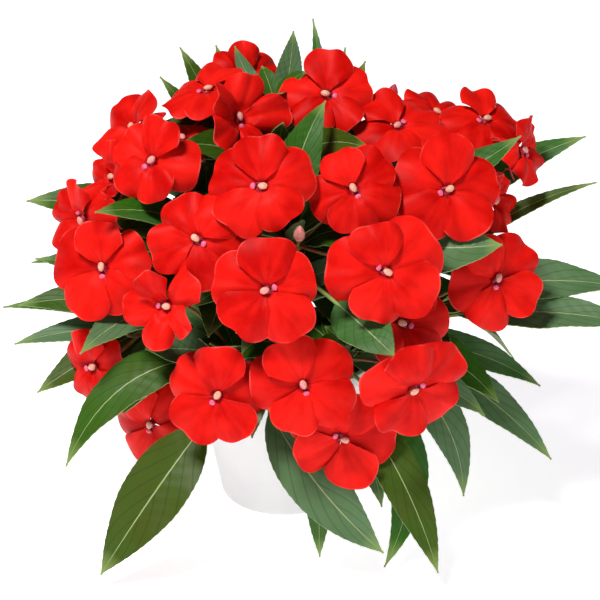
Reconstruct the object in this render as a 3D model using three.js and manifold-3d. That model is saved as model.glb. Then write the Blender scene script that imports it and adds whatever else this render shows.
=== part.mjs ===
// Potted New Guinea impatiens: a dome of broad red blooms over lance-shaped leaves, in a white pot.
// Millimetres, +Z up, the front toward -Y, the middle of the pot's flat underside on the origin.
import * as THREE from "three";
import ManifoldModule from "manifold-3d";

const wasm = await ManifoldModule();
wasm.setup();

// Pot and potting soil
const POT_HEIGHT = 100;
const POT_RIM_RADIUS = 60;
const POT_BASE_RADIUS = 40;
const POT_WALL = 1.8;
const POT_FLOOR = 3;
const RIM_BAND = 9;
const RIM_STEP = 2;
const POT_SIDES = 24;
const SOIL_TOP = 88;
const SOIL_RINGS = [56, 36, 18];
const FIT = 0.3;

// Leafy stems
const STEM_SIDES = 6;
const STEM_FOOT_Z = 73;
const STEM_FOOT_RADIUS = 4;
const STEM_TIP_RADIUS = 3.2;
const STEM_STATIONS = [0, 0.25, 0.5, 0.75, 1];
const STEM_BEND_OUT = 0.2;
const STEM_BEND_UP = 0.6;

// Leaves
const LEAF_THICKNESS = 0.7;
const BLADE_STATIONS = [0.3, 0.68, 1];
const BLADE_LONGEST = 108;
const PETIOLE_LEAST = 0.11;
const PETIOLE_WIDTH = 2.6;
const PETIOLE_THICKNESS = 2.2;
const PETIOLE_SUNK = 2;
const LEAF_FOLD = 0.18;
const BLADE_RISE = 0.8;
const BLADE_TAPER = 1.1;
const BLADE_BROADEST = BLADE_RISE / (BLADE_RISE + BLADE_TAPER);
const BLADE_TIP = 0.5;
const FRONT = new THREE.Vector3(0, -0.9, 0.44);
const LEAF_BENDS = [
  [0, 0],
  [8, 0],
  [-8, 0],
  [0, -0.07],
  [0, 0.05],
  [8, -0.07],
  [16, 0],
  [8, 0.05],
  [0, -0.14],
  [16, -0.1],
];
const LEAF_STEP = 5;
const LEAF_MOST = 6;
const LEAF_LOWEST = 2.5;
const FILL_STRAY = 16;
const FILL_LEAST = 0.9;
const FILL_SPREAD = 0.2;
const FILL_BOW = 10;

// Blooms
const PETAL_THICKNESS = 0.6;
const PETAL_LAYER = 1.5;
const BASE_LAYER = 0.75;
const RIM_STEPS = [-1, -0.7, -0.36, 0, 0.36, 0.7, 1];
const PETALS = [
  { turn: 90, layer: 2, half: 44, length: 0.95 },
  { turn: 18, layer: 0, half: 46, length: 1.0 },
  { turn: -54, layer: 1, half: 43, length: 0.98 },
  { turn: -126, layer: 2, half: 43, length: 0.98 },
  { turn: 162, layer: 0, half: 46, length: 1.0 },
];
const BASE_HALF = 29;
const PETAL_RISE = 7;
const PETAL_CREASE = 0.8;
const CREASE_WIDTH = 0.25;
const RIM_REACH = 1.03;
const RIM_CORNER = 0.3;
const RIM_CORNER_POWER = 3.2;
const NOTCH_WIDTH = 0.24;
const SPREAD_BY = 0.4;
const LAYER_BY = 0.35;
const LEAN_BY = 0.3;
const HUB_FLAT = 3.6;
const HUB_TOP = 2.1;
const HUB_BOTTOM = -2;
const HUB_SLACK = 0.8;
const EYE_TOP = 3;
const FIVE_CORNERS = [54, 126, 198, 270, 342];
const PEDICEL_RADIUS = 1.1;
const PEDICEL_SUNK = 1.8;
const PEDICEL_TOP = 6;
const PEDICEL_STRAIGHT = 24;
const PEDICEL_STRAIGHT_SHARE = 0.45;
const PEDICEL_STATIONS = [0, 0.4, 0.75, 1];
const SPUR_RADIUS = 1.1;
const SPUR_TIP_RADIUS = 0.7;
const SPUR_SIDES = 4;
const SPUR_STATIONS = [0, 0.55, 1];
const BUD_RINGS = [[0, 0.3], [0.25, 0.85], [0.6, 1], [1, 0.25]];
const BUD_SIDES = 6;
const BUD_STALK_RADIUS = 0.9;
const BUD_STALK_SUNK = 1.5;
const BUD_STALK_SIDES = 5;
const BUD_STALK_STATIONS = [0, 0.35, 0.7, 1];
const PUSHES = [0, 3, 6, 9, 12, -3, 15, 18];
const ROOT_SHARES = [0.98, 0.93, 0.88, 0.83, 0.78];
const STEMS_TRIED = 3;
const MOST_HITS = 9;
const CLEAR = 0.35;

// Stems: turn of the foot and tip from the front, how far out the foot stands, tip radius and height
const STEMS = {
  stem_centre: [200, 4, 32, 254],
  stem_inner_1: [0, 14, 52, 196],
  stem_inner_2: [72, 14, 54, 204],
  stem_inner_3: [144, 14, 52, 206],
  stem_inner_4: [216, 14, 52, 206],
  stem_inner_5: [288, 14, 54, 204],
  stem_outer_1: [-25, 30, 80, 132],
  stem_outer_2: [25, 30, 80, 132],
  stem_outer_3: [75, 30, 82, 138],
  stem_outer_4: [128, 30, 82, 140],
  stem_outer_5: [180, 30, 82, 140],
  stem_outer_6: [232, 30, 82, 140],
  stem_outer_7: [285, 30, 82, 138],
};
const STEM_SHIFT = 5;

// Leaves by stem: tip across, back and up, share of the stem's height, width, bow, sway, how far
// the blade turns from facing up (0) to facing the front (1), and for some the share that is stalk
const LEAVES = {
  stem_centre: [
    [6, 48, 291, 0.86, 17, 4, 0, 1],
    [-2, 56, 279, 0.97, 11, 4, 0, 1],
    [-30, 54, 279, 0.96, 11, 4, 0, 1],
    [52, -42, 250, 0.64, 20, 16, 0, 0.7],
    [-62, -26, 246, 0.74, 28, 14, 0, 0.6],
    [0, -30, 262, 0.86, 13, 4, 0, 1],
  ],
  stem_inner_1: [
    [25, -18, 271, 0.95, 26, 6, 0, 1],
    [64, -127, 163, 0.8, 30, 10, 0, 0.7, 0.45],
    [24, -88, 200, 0.7, 16, 4, 0, 0.8],
    [-24, -104, 147, 0.6, 16, 8, 0, 0.8],
  ],
  stem_inner_2: [
    [141, -16, 248, 0.95, 22, 4, 0, 0.6],
    [128, -66, 200, 0.85, 40, 0, -16, 0.6, 0.3],
    [120, 62, 225, 0.84, 30, 12, 0, 0],
  ],
  stem_inner_3: [
    [38, 60, 276, 0.9, 14, 6, 0, 1],
    [50, 44, 273, 0.96, 22, 4, 0, 1],
    [18, 70, 291, 0.86, 12, 4, 0, 1],
    [97, 78, 273, 0.96, 11, 2, 0, 1],
    [66, 132, 206, 0.76, 36, 14, 0, 0],
  ],
  stem_inner_4: [
    [-64, 60, 276, 0.9, 18, 4, 0, 1],
    [-76, 46, 262, 0.84, 18, 6, 0, 1],
    [-46, 66, 279, 0.94, 18, 4, 0, 1],
    [-40, 140, 206, 0.76, 36, 14, 0, 0],
  ],
  stem_inner_5: [
    [-157, -8, 203, 0.8, 32, 12, 0, 0.6],
    [-106, -66, 219, 0.86, 24, 10, 0, 0.5],
    [-120, 84, 190, 0.72, 34, 12, 0, 0],
  ],
  stem_outer_1: [
    [60, -112, 18, 0.66, 35, 16, -20, 0.7],
    [-109, -122, 9, 0.58, 38, 16, 12, 0.7],
    [-127, -105, 66, 0.86, 27, 12, 0, 0.6],
    [8, -104, 148, 0.9, 34, 8, 0, 0.5],
  ],
  stem_outer_2: [
    [92, -128, 14, 0.6, 26, 14, 0, 0.7],
    [22, -94, 4, 0.6, 20, 24, 0, 0.4],
    [61, -104, 3, 0.8, 25, 14, 24, 0.6],
    [63, -92, 40, 0.56, 22, 10, 0, 0.5],
    [121, -72, 90, 0.86, 26, 12, 0, 0.7],
  ],
  stem_outer_3: [
    [208, -20, 150, 0.9, 30, 12, 0, 0.5],
    [212, -50, 140, 0.84, 28, 10, 0, 0.4],
    [191, 10, 207, 0.85, 11, 8, 14, 0.5],
    [175, -10, 120, 0.8, 20, 12, 0, 0.4],
    [131, -52, 88, 0.6, 25, 12, 0, 0.7],
    [160, -14, 79, 0.64, 22, 12, 0, 0.6],
    [165, -50, 52, 0.56, 24, 12, 0, 0.6],
    [116, -24, 10, 0.46, 26, 14, 0, 0.7],
  ],
  stem_outer_4: [
    [186, 35, 227, 0.94, 22, 10, 0, 0.6],
    [165, 85, 122, 0.88, 40, 14, 0, 0],
    [120, 130, 120, 0.82, 42, 14, 0, 0],
    [150, 60, 60, 0.62, 40, 16, 0, 0],
    [95, 120, 30, 0.54, 42, 16, 0, 0],
  ],
  stem_outer_5: [
    [48, 178, 110, 0.9, 42, 14, 0, 0],
    [-40, 180, 112, 0.84, 40, 14, 0, 0],
    [50, 150, 45, 0.62, 42, 16, 0, 0],
    [-20, 155, 30, 0.54, 42, 16, 0, 0],
  ],
  stem_outer_6: [
    [-120, 125, 140, 0.9, 42, 14, 0, 0],
    [-165, 80, 120, 0.84, 40, 14, 0, 0],
    [-90, 125, 30, 0.6, 42, 16, 0, 0],
    [-140, 75, 40, 0.54, 40, 16, 0, 0],
  ],
  stem_outer_7: [
    [-118, -96, 159, 0.92, 26, 14, 0, 0.5],
    [-146, -56, 112, 0.86, 26, 12, 0, 0.5],
    [-162, -26, 136, 0.8, 25, 10, 0, 0.5],
    [-174, -2, 128, 0.74, 14, 8, 0, 0.5],
    [-152, -6, 163, 0.94, 17, 8, 0, 0.5],
    [-165, -28, 128, 0.66, 20, 10, 0, 0.5],
  ],
};

// Fill leaves: stem, share of its height, turns from the stem's own, length, lift, width, face
const FILL = [
  ["stem_centre", 0.84, [-60, 0, 60, 150], 70, 8, 30, 0.4],
  ["stem_centre", 0.66, [-170, -98, -26, 46, 118], 74, 14, 34, 0.3],
  ["stem_centre", 0.46, [-190, -150], 70, 6, 36, 0.4],
  ["stem_inner_1", 0.88, [-70, 70], 60, 6, 28, 0.4],
  ["stem_inner_1", 0.66, [-56, -6, 48], 66, 4, 34, 0.4],
  ["stem_inner_1", 0.42, [-64, -18, 34], 58, 0, 36, 0.5],
  ["stem_inner_2", 0.66, [-50, 6, 54], 72, 4, 34, 0.3],
  ["stem_inner_2", 0.44, [-60, -20, 20], 64, 0, 34, 0.4],
  ["stem_inner_3", 0.66, [-44, 28], 74, 6, 34, 0],
  ["stem_inner_4", 0.66, [-28, 44], 74, 6, 34, 0],
  ["stem_inner_5", 0.66, [-54, -6, 50], 72, 4, 34, 0.3],
  ["stem_inner_5", 0.46, [30, 60, 90], 64, 0, 36, 0.5],
  ["stem_inner_5", 0.86, [80, -80], 56, 6, 28, 0.4],
  ["stem_outer_1", 0.84, [-120, -54, -24, 8, 90], 56, 12, 30, 0.5],
  ["stem_outer_2", 0.84, [-80, -30, 0, 60, 130], 54, 12, 28, 0.5],
  ["stem_outer_3", 0.76, [-50, 40], 84, 0, 36, 0.3],
  ["stem_outer_4", 0.76, [-36, 30], 92, -6, 38, 0],
  ["stem_outer_5", 0.76, [-34, 36], 92, -6, 38, 0],
  ["stem_outer_6", 0.76, [-30, 36], 92, -6, 38, 0],
  ["stem_outer_7", 0.76, [30], 84, 0, 36, 0.2],
  ["stem_outer_7", 0.84, [-60, -20, 20], 56, 6, 28, 0.5],
];

// Blooms: middle across, back, up; turn and lift of the face; width; roll; how far the petals close
const BLOOMS = {
  bloom_01: [-12, -75, 241, -6, 30, 61, 4, 0],
  bloom_02: [-77, -36, 240, -22, 30, 56, -14, 0],
  bloom_03: [-106, -60, 182, -18, 24, 63, 10, 0],
  bloom_04: [-49, -80, 210, -12, 28, 59, -30, 0],
  bloom_05: [-9, -112, 193, -4, 24, 63, 0, 0],
  bloom_06: [59, -100, 199, 6, 24, 66, 16, 0],
  bloom_07: [96, -50, 228, 12, 28, 65, -8, 0],
  bloom_08: [126, -58, 174, 24, 20, 60, 20, 0],
  bloom_09: [41, -64, 234, 4, 32, 56, 30, 0],
  bloom_10: [26, 14, 262, 4, 46, 58, 0, 0],
  bloom_11: [69, 5, 245, 10, 66, 60, 24, 0],
  bloom_12: [123, 30, 239, 40, 62, 54, -20, 0],
  bloom_13: [-46, 20, 262, -34, 76, 58, 12, 0],
  bloom_14: [-27, -6, 255, 40, 30, 58, 40, 30],
  bloom_15: [-92, 34, 232, -56, 40, 56, 0, 10],
  bloom_16: [-101, -10, 218, -60, 34, 44, 30, 24],
  bloom_17: [-112, -14, 194, -44, 14, 52, 10, 16],
  bloom_18: [-66, -86, 171, -24, 14, 54, 30, 26],
  bloom_19: [-38, -110, 124, -8, 14, 63, -6, 0],
  bloom_20: [12, -118, 135, 4, 16, 64, 20, 0],
  bloom_21: [70, -86, 159, 10, 20, 58, -16, 0],
  bloom_22: [73, -118, 139, 16, -8, 60, 8, 0],
  bloom_23: [35, -106, 94, 8, 0, 62, -24, 0],
  bloom_24: [-114, -58, 116, -36, 6, 50, 14, 0],
  bloom_25: [-80, -66, 81, -24, -8, 62, 26, 0],
  bloom_26: [142, 14, 226, 62, 14, 44, 0, 10],
  bloom_27: [127, 0, 199, 60, 14, 42, 10, 20],
  bloom_28: [-24, 56, 259, 10, 25, 42, 0, 10],
  bloom_29: [-36, 118, 160, 196, 14, 62, -26, 0],
  bloom_30: [34, 118, 158, 166, 14, 62, 30, 0],
  bloom_31: [94, 40, 239, 60, 62, 50, 36, 0],
  bloom_32: [-60, 0, 238, -30, 78, 42, -36, 0],
  bloom_33: [10, 88, 232, 176, 44, 60, 10, 0],
  bloom_34: [78, 84, 208, 140, 36, 60, -18, 0],
  bloom_35: [-66, 88, 206, 212, 34, 60, 26, 0],
  bloom_36: [116, 62, 160, 120, 18, 60, 4, 0],
  bloom_37: [-106, 50, 170, 245, 18, 60, -12, 0],
};

// Buds on thin stalks: tip across, back, up; length; width
const BUDS = {
  bud_01: [68, 34, 262, 17, 9],
  bud_02: [10, -88, 222, 13, 7],
  bud_03: [-100, -60, 146, 13, 8],
  bud_04: [12, -112, 168, 12, 8],
};

const radians = THREE.MathUtils.degToRad;

// Small seeded random numbers between 0 and 1
function seeded(seed) {
  let state = (seed * 7919 + 17) % 2147483647;
  return () => {
    state = (state * 48271) % 2147483647;
    return state / 2147483647;
  };
}

function ease(x) {
  const c = Math.min(1, Math.max(0, x));
  return c * c * (3 - 2 * c);
}

// A closed solid from points and triangles, turned outward, with its box
function makeSolid(points, faces) {
  let volume = 0;
  for (const [a, b, c] of faces) {
    volume += points[a].dot(new THREE.Vector3().crossVectors(points[b], points[c]));
  }
  const outward = volume > 0 ? faces : faces.map(([a, b, c]) => [a, c, b]);
  const mesh = new wasm.Mesh({
    numProp: 3,
    vertProperties: new Float32Array(points.flatMap((p) => [p.x, p.y, p.z])),
    triVerts: new Uint32Array(outward.flat()),
  });
  return { body: new wasm.Manifold(mesh), box: new THREE.Box3().setFromPoints(points) };
}

// A closed solid skinned over rings of points, capped at both ends
function skin(rings) {
  const count = rings[0].length;
  const faces = [];
  for (let r = 0; r + 1 < rings.length; r += 1) {
    for (let k = 0; k < count; k += 1) {
      const next = (k + 1) % count;
      const a = r * count + k;
      const b = r * count + next;
      faces.push([a, b, b + count], [a, b + count, a + count]);
    }
  }
  const last = (rings.length - 1) * count;
  for (let k = 1; k + 1 < count; k += 1) {
    faces.push([0, k + 1, k], [last, last + k, last + k + 1]);
  }
  return makeSolid(rings.flat(), faces);
}

// A point on the curve drawn by a start, a control point and an end
function curvePoint([start, control, end], s) {
  return new THREE.Vector3()
    .addScaledVector(start, (1 - s) * (1 - s))
    .addScaledVector(control, 2 * s * (1 - s))
    .addScaledVector(end, s * s);
}

function curveDirection([start, control, end], s) {
  return new THREE.Vector3()
    .addScaledVector(start, -2 * (1 - s))
    .addScaledVector(control, 2 - 4 * s)
    .addScaledVector(end, 2 * s)
    .normalize();
}

// A tapering round stalk along a curve
function stalk(curve, stations, sides, startRadius, endRadius, pad) {
  const rings = stations.map((s) => {
    const along = curveDirection(curve, s);
    const side = new THREE.Vector3(along.z, 0, -along.x);
    if (side.lengthSq() < 0.04) {
      side.set(0, along.z, -along.y);
    }
    side.normalize();
    const other = new THREE.Vector3().crossVectors(along, side);
    const radius = startRadius + (endRadius - startRadius) * s + pad;
    const middle = curvePoint(curve, s);
    return Array.from({ length: sides }, (_, k) => {
      const turn = (2 * Math.PI * k) / sides;
      return middle.clone()
        .addScaledVector(side, radius * Math.cos(turn))
        .addScaledVector(other, radius * Math.sin(turn));
    });
  });
  return skin(rings);
}

// Turn from the front and a lift above level, as a direction
function direction(turn, lift) {
  return new THREE.Vector3(
    Math.sin(radians(turn)) * Math.cos(radians(lift)),
    -Math.cos(radians(turn)) * Math.cos(radians(lift)),
    Math.sin(radians(lift)),
  );
}

// The curve of a stem from its foot in the soil to its tip
function stemCurve([turn, foot, tip, height]) {
  const out = direction(turn, 0);
  const start = out.clone().multiplyScalar(foot).setZ(STEM_FOOT_Z);
  const end = out.clone().multiplyScalar(tip).setZ(height);
  end.x += STEM_SHIFT;
  const control = out.clone().multiplyScalar(foot + (tip - foot) * STEM_BEND_OUT);
  control.setZ(STEM_FOOT_Z + (height - STEM_FOOT_Z) * STEM_BEND_UP);
  return [start, control, end];
}

// The curve of a leaf: bowed up and away from the straight line between its root and tip
function leafCurve(root, tip, bow, sway, face) {
  const along = new THREE.Vector3().subVectors(tip, root).normalize();
  const side = new THREE.Vector3(-along.y, along.x, 0).normalize();
  const up = new THREE.Vector3().crossVectors(along, side).negate();
  if (up.z < 0) {
    up.negate();
  }
  const control = new THREE.Vector3().addVectors(root, tip).multiplyScalar(0.5);
  control.addScaledVector(up, bow * 2).addScaledVector(side, sway * 2);
  const sky = new THREE.Vector3(0, 0, 1).lerp(FRONT, face).normalize();
  return { curve: [root, control, tip], side: new THREE.Vector3().crossVectors(along, sky).normalize(), sky };
}

// The share of a leaf that is stalk: at least a short one, and the blade has a longest length
function stalkShare(root, tip, least) {
  return Math.max(least, 1 - BLADE_LONGEST / root.distanceTo(tip));
}

// Half the blade's width at a share of its length: broad near the middle, drawn out to the tip
function bladeHalf(u, width) {
  const outline = (share) => Math.pow(share, BLADE_RISE) * Math.pow(1 - share, BLADE_TAPER);
  const blade = ((width / 2) * outline(u)) / outline(BLADE_BROADEST);
  return Math.max(blade, (PETIOLE_WIDTH / 2) * (1 - u), BLADE_TIP);
}

// A leaf as a solid: a round stalk, then a thin blade folded a little along its midrib
function leafSolid(root, tip, { width, bow, sway, face, least }, bend, pad) {
  const { curve, side, sky } = leafCurve(root, tip, bow + bend, sway, face);
  const stalk = stalkShare(root, tip, least);
  const section = (s, half, thick, fold) => {
    const along = curveDirection(curve, s);
    const across = side.clone().addScaledVector(along, -side.dot(along)).normalize();
    const up = new THREE.Vector3().crossVectors(across, along).normalize();
    if (up.dot(sky) < 0) {
      up.negate();
    }
    const middle = curvePoint(curve, s);
    const at = (x, z) => middle.clone().addScaledVector(across, x).addScaledVector(up, z);
    const edge = half + pad;
    const upper = [at(-edge, fold + thick), at(0, thick), at(edge, fold + thick)];
    const lower = [at(edge, fold - thick), at(0, -thick), at(-edge, fold - thick)];
    return [...upper, ...lower];
  };
  const stalkRing = (s) => section(s, PETIOLE_WIDTH / 2, PETIOLE_THICKNESS / 2 + pad, 0);
  const bladeRing = (u) => {
    const half = bladeHalf(u, width);
    return section(stalk + (1 - stalk) * u, half, LEAF_THICKNESS / 2 + pad, LEAF_FOLD * half);
  };
  return skin([stalkRing(0), stalkRing(stalk), ...BLADE_STATIONS.map(bladeRing)]);
}

// Small differences of one petal from the next, from the bloom's own seed
function petalForms(seed) {
  const random = seeded(seed);
  const mirror = random() < 0.5 ? -1 : 1;
  const curl = 0.02 + 0.08 * random();
  return PETALS.map((petal) => ({
    turn: 90 + mirror * (petal.turn - 90),
    layer: petal.layer,
    half: petal.half + 6 * (random() - 0.5),
    length: petal.length * (0.92 + 0.14 * random()),
    notch: 0.02 + 0.12 * random(),
    wave: 0.3 + 0.5 * random(),
    phase: 2 * Math.PI * random(),
    skew: 6 * (random() - 0.5),
    curl,
  }));
}

// A point of a petal, from hub to rim (s) and from side to side (t), in the bloom's own frame
function petalPoint(form, size, close, s, t, drop, pad) {
  const reach = (size / 2) * form.length;
  const widest = form.half - 0.3 * close;
  const half = BASE_HALF + (widest - BASE_HALF) * ease(s / SPREAD_BY);
  const angle = radians(half * t + form.skew * s) + (pad * t * s) / reach;
  const corner = RIM_CORNER * Math.abs(t) ** RIM_CORNER_POWER;
  const rim = RIM_REACH - corner - form.notch * Math.exp(-((t / NOTCH_WIDTH) ** 2));
  const start = HUB_FLAT / Math.cos(radians(BASE_HALF * t));
  const radius = start + (reach * rim + pad - start) * s;
  const level = PETAL_RISE * s * (1 - s) - form.curl * reach * s * s
    + form.wave * Math.sin(form.phase + 3 * t) * (1 - 0.8 * t * t) * s * s
    - PETAL_CREASE * Math.exp(-((t / CREASE_WIDTH) ** 2)) * s - drop;
  const base = form.layer * (BASE_LAYER + (PETAL_LAYER - BASE_LAYER) * ease(s / LAYER_BY));
  const flat = radius * Math.cos(angle) - HUB_FLAT;
  const lean = radians(close * ease(s / LEAN_BY));
  const along = HUB_FLAT + flat * Math.cos(lean) - level * Math.sin(lean);
  const out = base + flat * Math.sin(lean) + level * Math.cos(lean);
  const across = radius * Math.sin(angle) * (1 - 0.3 * Math.sin(lean) * s);
  const c = Math.cos(radians(form.turn));
  const n = Math.sin(radians(form.turn));
  return new THREE.Vector3(along * c - across * n, along * n + across * c, out);
}

// The two faces of a petal: corners at the hub, a point in the middle, and points round the rim
function petalSheets(form, size, close, pad) {
  const sheet = (drop) => [
    petalPoint(form, size, close, 0, -1, drop, pad),
    petalPoint(form, size, close, 0, 1, drop, pad),
    petalPoint(form, size, close, 0.55, 0, drop, pad),
    ...RIM_STEPS.map((t) => petalPoint(form, size, close, 1, t, drop, pad)),
  ];
  return [...sheet(-pad), ...sheet(PETAL_THICKNESS + pad)];
}

const PETAL_LOOP = [0, 3, 4, 5, 6, 7, 8, 9, 1];
const PETAL_POINTS = 10;

// Triangles of a petal's two faces and its edge, open where it leaves the hub
function petalFaces(first) {
  const faces = [];
  PETAL_LOOP.forEach((a, k) => {
    const b = PETAL_LOOP[(k + 1) % PETAL_LOOP.length];
    faces.push([2, a, b], [2 + PETAL_POINTS, b + PETAL_POINTS, a + PETAL_POINTS]);
    if (a !== 1) {
      faces.push([b, a, a + PETAL_POINTS], [b, a + PETAL_POINTS, b + PETAL_POINTS]);
    }
  });
  return faces.map((face) => face.map((k) => k + first));
}

function petalSolid(place, form, size, close, pad) {
  const n = PETAL_POINTS;
  const points = petalSheets(form, size, close, pad).map(place);
  return makeSolid(points, [...petalFaces(0), [0, 1, 1 + n], [0, 1 + n, n]]);
}

// Rings of a pedicel from the stem up to the bloom, kept in line with the hub's five corners
function pedicelRings(curve, side, radius) {
  return PEDICEL_STATIONS.map((s) => {
    const along = curveDirection(curve, s);
    const first = side.clone().addScaledVector(along, -side.dot(along)).normalize();
    const second = new THREE.Vector3().crossVectors(along, first);
    const middle = curvePoint(curve, s);
    return FIVE_CORNERS.map((degrees) => middle.clone()
      .addScaledVector(first, radius * Math.cos(radians(degrees)))
      .addScaledVector(second, radius * Math.sin(radians(degrees))));
  });
}

function fiveCorner(degrees, radius, level) {
  return new THREE.Vector3(radius * Math.cos(radians(degrees)), radius * Math.sin(radians(degrees)), level);
}

// Hub, five petals and pedicel as one closed skin
function flowerSolid(place, forms, size, close, rings) {
  const points = [];
  const faces = [];
  const corner = HUB_FLAT / Math.cos(Math.PI / 5);
  for (const level of [HUB_TOP, HUB_BOTTOM]) {
    points.push(...FIVE_CORNERS.map((degrees) => place(fiveCorner(degrees, corner, level))));
  }
  points.push(place(new THREE.Vector3(0, 0, EYE_TOP)));
  for (const form of forms) {
    const first = points.length;
    points.push(...petalSheets(form, size, close, 0).map(place));
    faces.push(...petalFaces(first));
    const k = ((Math.round((form.turn - 90) / 72) % 5) + 5) % 5;
    const [top0, top1, low0, low1] = [k, (k + 1) % 5, 5 + k, 5 + ((k + 1) % 5)];
    const [in0, in1, under0, under1] = [first, first + 1, first + PETAL_POINTS, first + PETAL_POINTS + 1];
    faces.push([low0, low1, under1], [low0, under1, under0], [low1, top1, in1], [low1, in1, under1]);
    faces.push([top1, top0, in0], [top1, in0, in1], [top0, low0, under0], [top0, under0, in0]);
    faces.push([top0, top1, 10]);
  }
  let upper = 5;
  for (const ring of [...rings].reverse()) {
    const lower = points.length;
    points.push(...ring);
    for (let k = 0; k < 5; k += 1) {
      const next = (k + 1) % 5;
      faces.push([upper + next, upper + k, lower + k], [upper + next, lower + k, lower + next]);
    }
    upper = lower;
  }
  faces.push([upper, upper + 2, upper + 1], [upper, upper + 3, upper + 2], [upper, upper + 4, upper + 3]);
  return makeSolid(points, faces);
}

// Turns a bloom's own frame into the plant's: across, up the face, out of the face
function facePlacer(middle, turn, lift, roll) {
  const out = direction(turn, lift);
  const across = new THREE.Vector3(Math.cos(radians(turn)), Math.sin(radians(turn)), 0);
  const up = new THREE.Vector3().crossVectors(out, across);
  const c = Math.cos(radians(roll));
  const n = Math.sin(radians(roll));
  return (p) => middle.clone()
    .addScaledVector(across, p.x * c - p.y * n)
    .addScaledVector(up, p.x * n + p.y * c)
    .addScaledVector(out, p.z);
}

// Where a stalk meets a stem: a little inside its skin, on the side toward the bloom or leaf tip
function rootOn(stem, share, toward, sunk) {
  const middle = curvePoint(stem.curve, share);
  const along = curveDirection(stem.curve, share);
  const out = new THREE.Vector3().subVectors(toward, middle);
  out.addScaledVector(along, -out.dot(along)).normalize();
  const radius = STEM_FOOT_RADIUS + (STEM_TIP_RADIUS - STEM_FOOT_RADIUS) * share;
  return middle.addScaledVector(out, radius - sunk);
}

// The pieces of a bloom, a little fatter by the pad when room for them is looked for
function bloomPieces(bloom, stem, share, push, pad) {
  const [x, y, z, turn, lift, size, roll, close] = bloom.values;
  const out = direction(turn, lift);
  const middle = new THREE.Vector3(x, y, z).addScaledVector(out, push);
  const place = facePlacer(middle, turn, lift, roll);
  const upright = facePlacer(middle, turn, lift, 0);
  const forms = petalForms(bloom.number);
  const spurStart = upright(new THREE.Vector3(0, -0.8, -1.5));
  const spurBend = upright(new THREE.Vector3(0, -0.07 * size, -0.3 * size));
  const spurTip = upright(new THREE.Vector3(0, -0.42 * size, -0.2 * size));
  const spurPath = [spurStart, spurBend, spurTip];
  const spur = stalk(spurPath, SPUR_STATIONS, SPUR_SIDES, SPUR_RADIUS, SPUR_TIP_RADIUS, pad);
  const start = place(new THREE.Vector3(0, 0, -PEDICEL_TOP));
  const root = rootOn(stem, share, start, PEDICEL_SUNK);
  const straight = Math.min(PEDICEL_STRAIGHT, start.distanceTo(root) * PEDICEL_STRAIGHT_SHARE);
  const control = start.clone().addScaledVector(out, -straight);
  const side = place(new THREE.Vector3(1, 0, 0)).sub(middle);
  const rings = pedicelRings([root, control, start], side, PEDICEL_RADIUS + pad);
  const pedicel = skin(rings);
  if (pad > 0) {
    const top = [HUB_TOP + pad, HUB_FLAT + pad];
    const bottom = [HUB_BOTTOM - pad, HUB_FLAT + pad + HUB_SLACK];
    const foot = [-PEDICEL_TOP, PEDICEL_RADIUS + pad];
    const hub = skin([top, bottom, foot].map(([level, radius]) => (
      FIVE_CORNERS.map((degrees) => place(fiveCorner(degrees, radius, level))))));
    const petals = forms.map((form) => petalSolid(place, form, size, close, pad));
    return { pieces: [...petals, hub, spur], pedicel };
  }
  return { pieces: [flowerSolid(place, forms, size, close, rings), spur], pedicel: null };
}

function budPieces(bud, stem, share, push, pad) {
  const [x, y, z, length, width] = bud.values;
  const tip = new THREE.Vector3(x, y, z + push);
  const foot = curvePoint(stem.curve, 1);
  const along = new THREE.Vector3().subVectors(tip, foot).normalize();
  along.lerp(new THREE.Vector3(0, 0, 1), 0.5).normalize();
  const base = tip.clone().addScaledVector(along, -length);
  const side = new THREE.Vector3(along.z, 0, -along.x).normalize();
  const other = new THREE.Vector3().crossVectors(along, side);
  const rings = BUD_RINGS.map(([s, w]) => Array.from({ length: BUD_SIDES }, (_, k) => {
    const turn = (2 * Math.PI * k) / BUD_SIDES;
    const radius = (width / 2) * w + pad;
    return base.clone()
      .addScaledVector(along, s * length)
      .addScaledVector(side, radius * Math.cos(turn))
      .addScaledVector(other, radius * Math.sin(turn));
  }));
  const start = base.clone().addScaledVector(along, BUD_STALK_SUNK);
  const root = rootOn(stem, share, start, PEDICEL_SUNK);
  const control = start.clone().addScaledVector(along, -0.5 * start.distanceTo(root));
  const path = [root, control, start];
  const radius = BUD_STALK_RADIUS;
  const pedicel = stalk(path, BUD_STALK_STATIONS, BUD_STALK_SIDES, radius, radius, pad);
  return { pieces: [skin(rings)], pedicel };
}

// True when two solids share some space
function cross(a, b) {
  if (!a.box.intersectsBox(b.box)) {
    return false;
  }
  return a.body.intersect(b.body).getMesh().triVerts.length > 0;
}

function crossings(pieces, others, enough) {
  let count = 0;
  for (const piece of pieces) {
    for (const other of others) {
      count += cross(piece, other) ? 1 : 0;
      if (count >= enough) {
        return count;
      }
    }
  }
  return count;
}

// Shifts tried in turn, the smallest first
function shifts(step, most) {
  const list = [];
  for (let a = -most; a <= most; a += 1) {
    for (let b = -most; b <= most; b += 1) {
      list.push([a * step, b * step, a * a + b * b]);
    }
  }
  return list.sort((p, q) => p[2] - q[2] || p[0] - q[0] || p[1] - q[1]);
}

const stems = Object.entries(STEMS).map(([name, values]) => {
  const curve = stemCurve(values);
  const tube = stalk(curve, STEM_STATIONS, STEM_SIDES, STEM_FOOT_RADIUS, STEM_TIP_RADIUS, 0);
  const socket = stalk(curve, STEM_STATIONS, STEM_SIDES, STEM_FOOT_RADIUS, STEM_TIP_RADIUS, FIT);
  return { name, curve, tube, socket, leaves: [], holes: [] };
});

// Each bloom and bud takes the nearest stem tip, and a root height of its own
function nearestStems(point) {
  const order = stems.map((stem) => ({ stem, gap: curvePoint(stem.curve, 0.95).distanceTo(point) }));
  return order.sort((a, b) => a.gap - b.gap).map((item) => item.stem);
}

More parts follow.
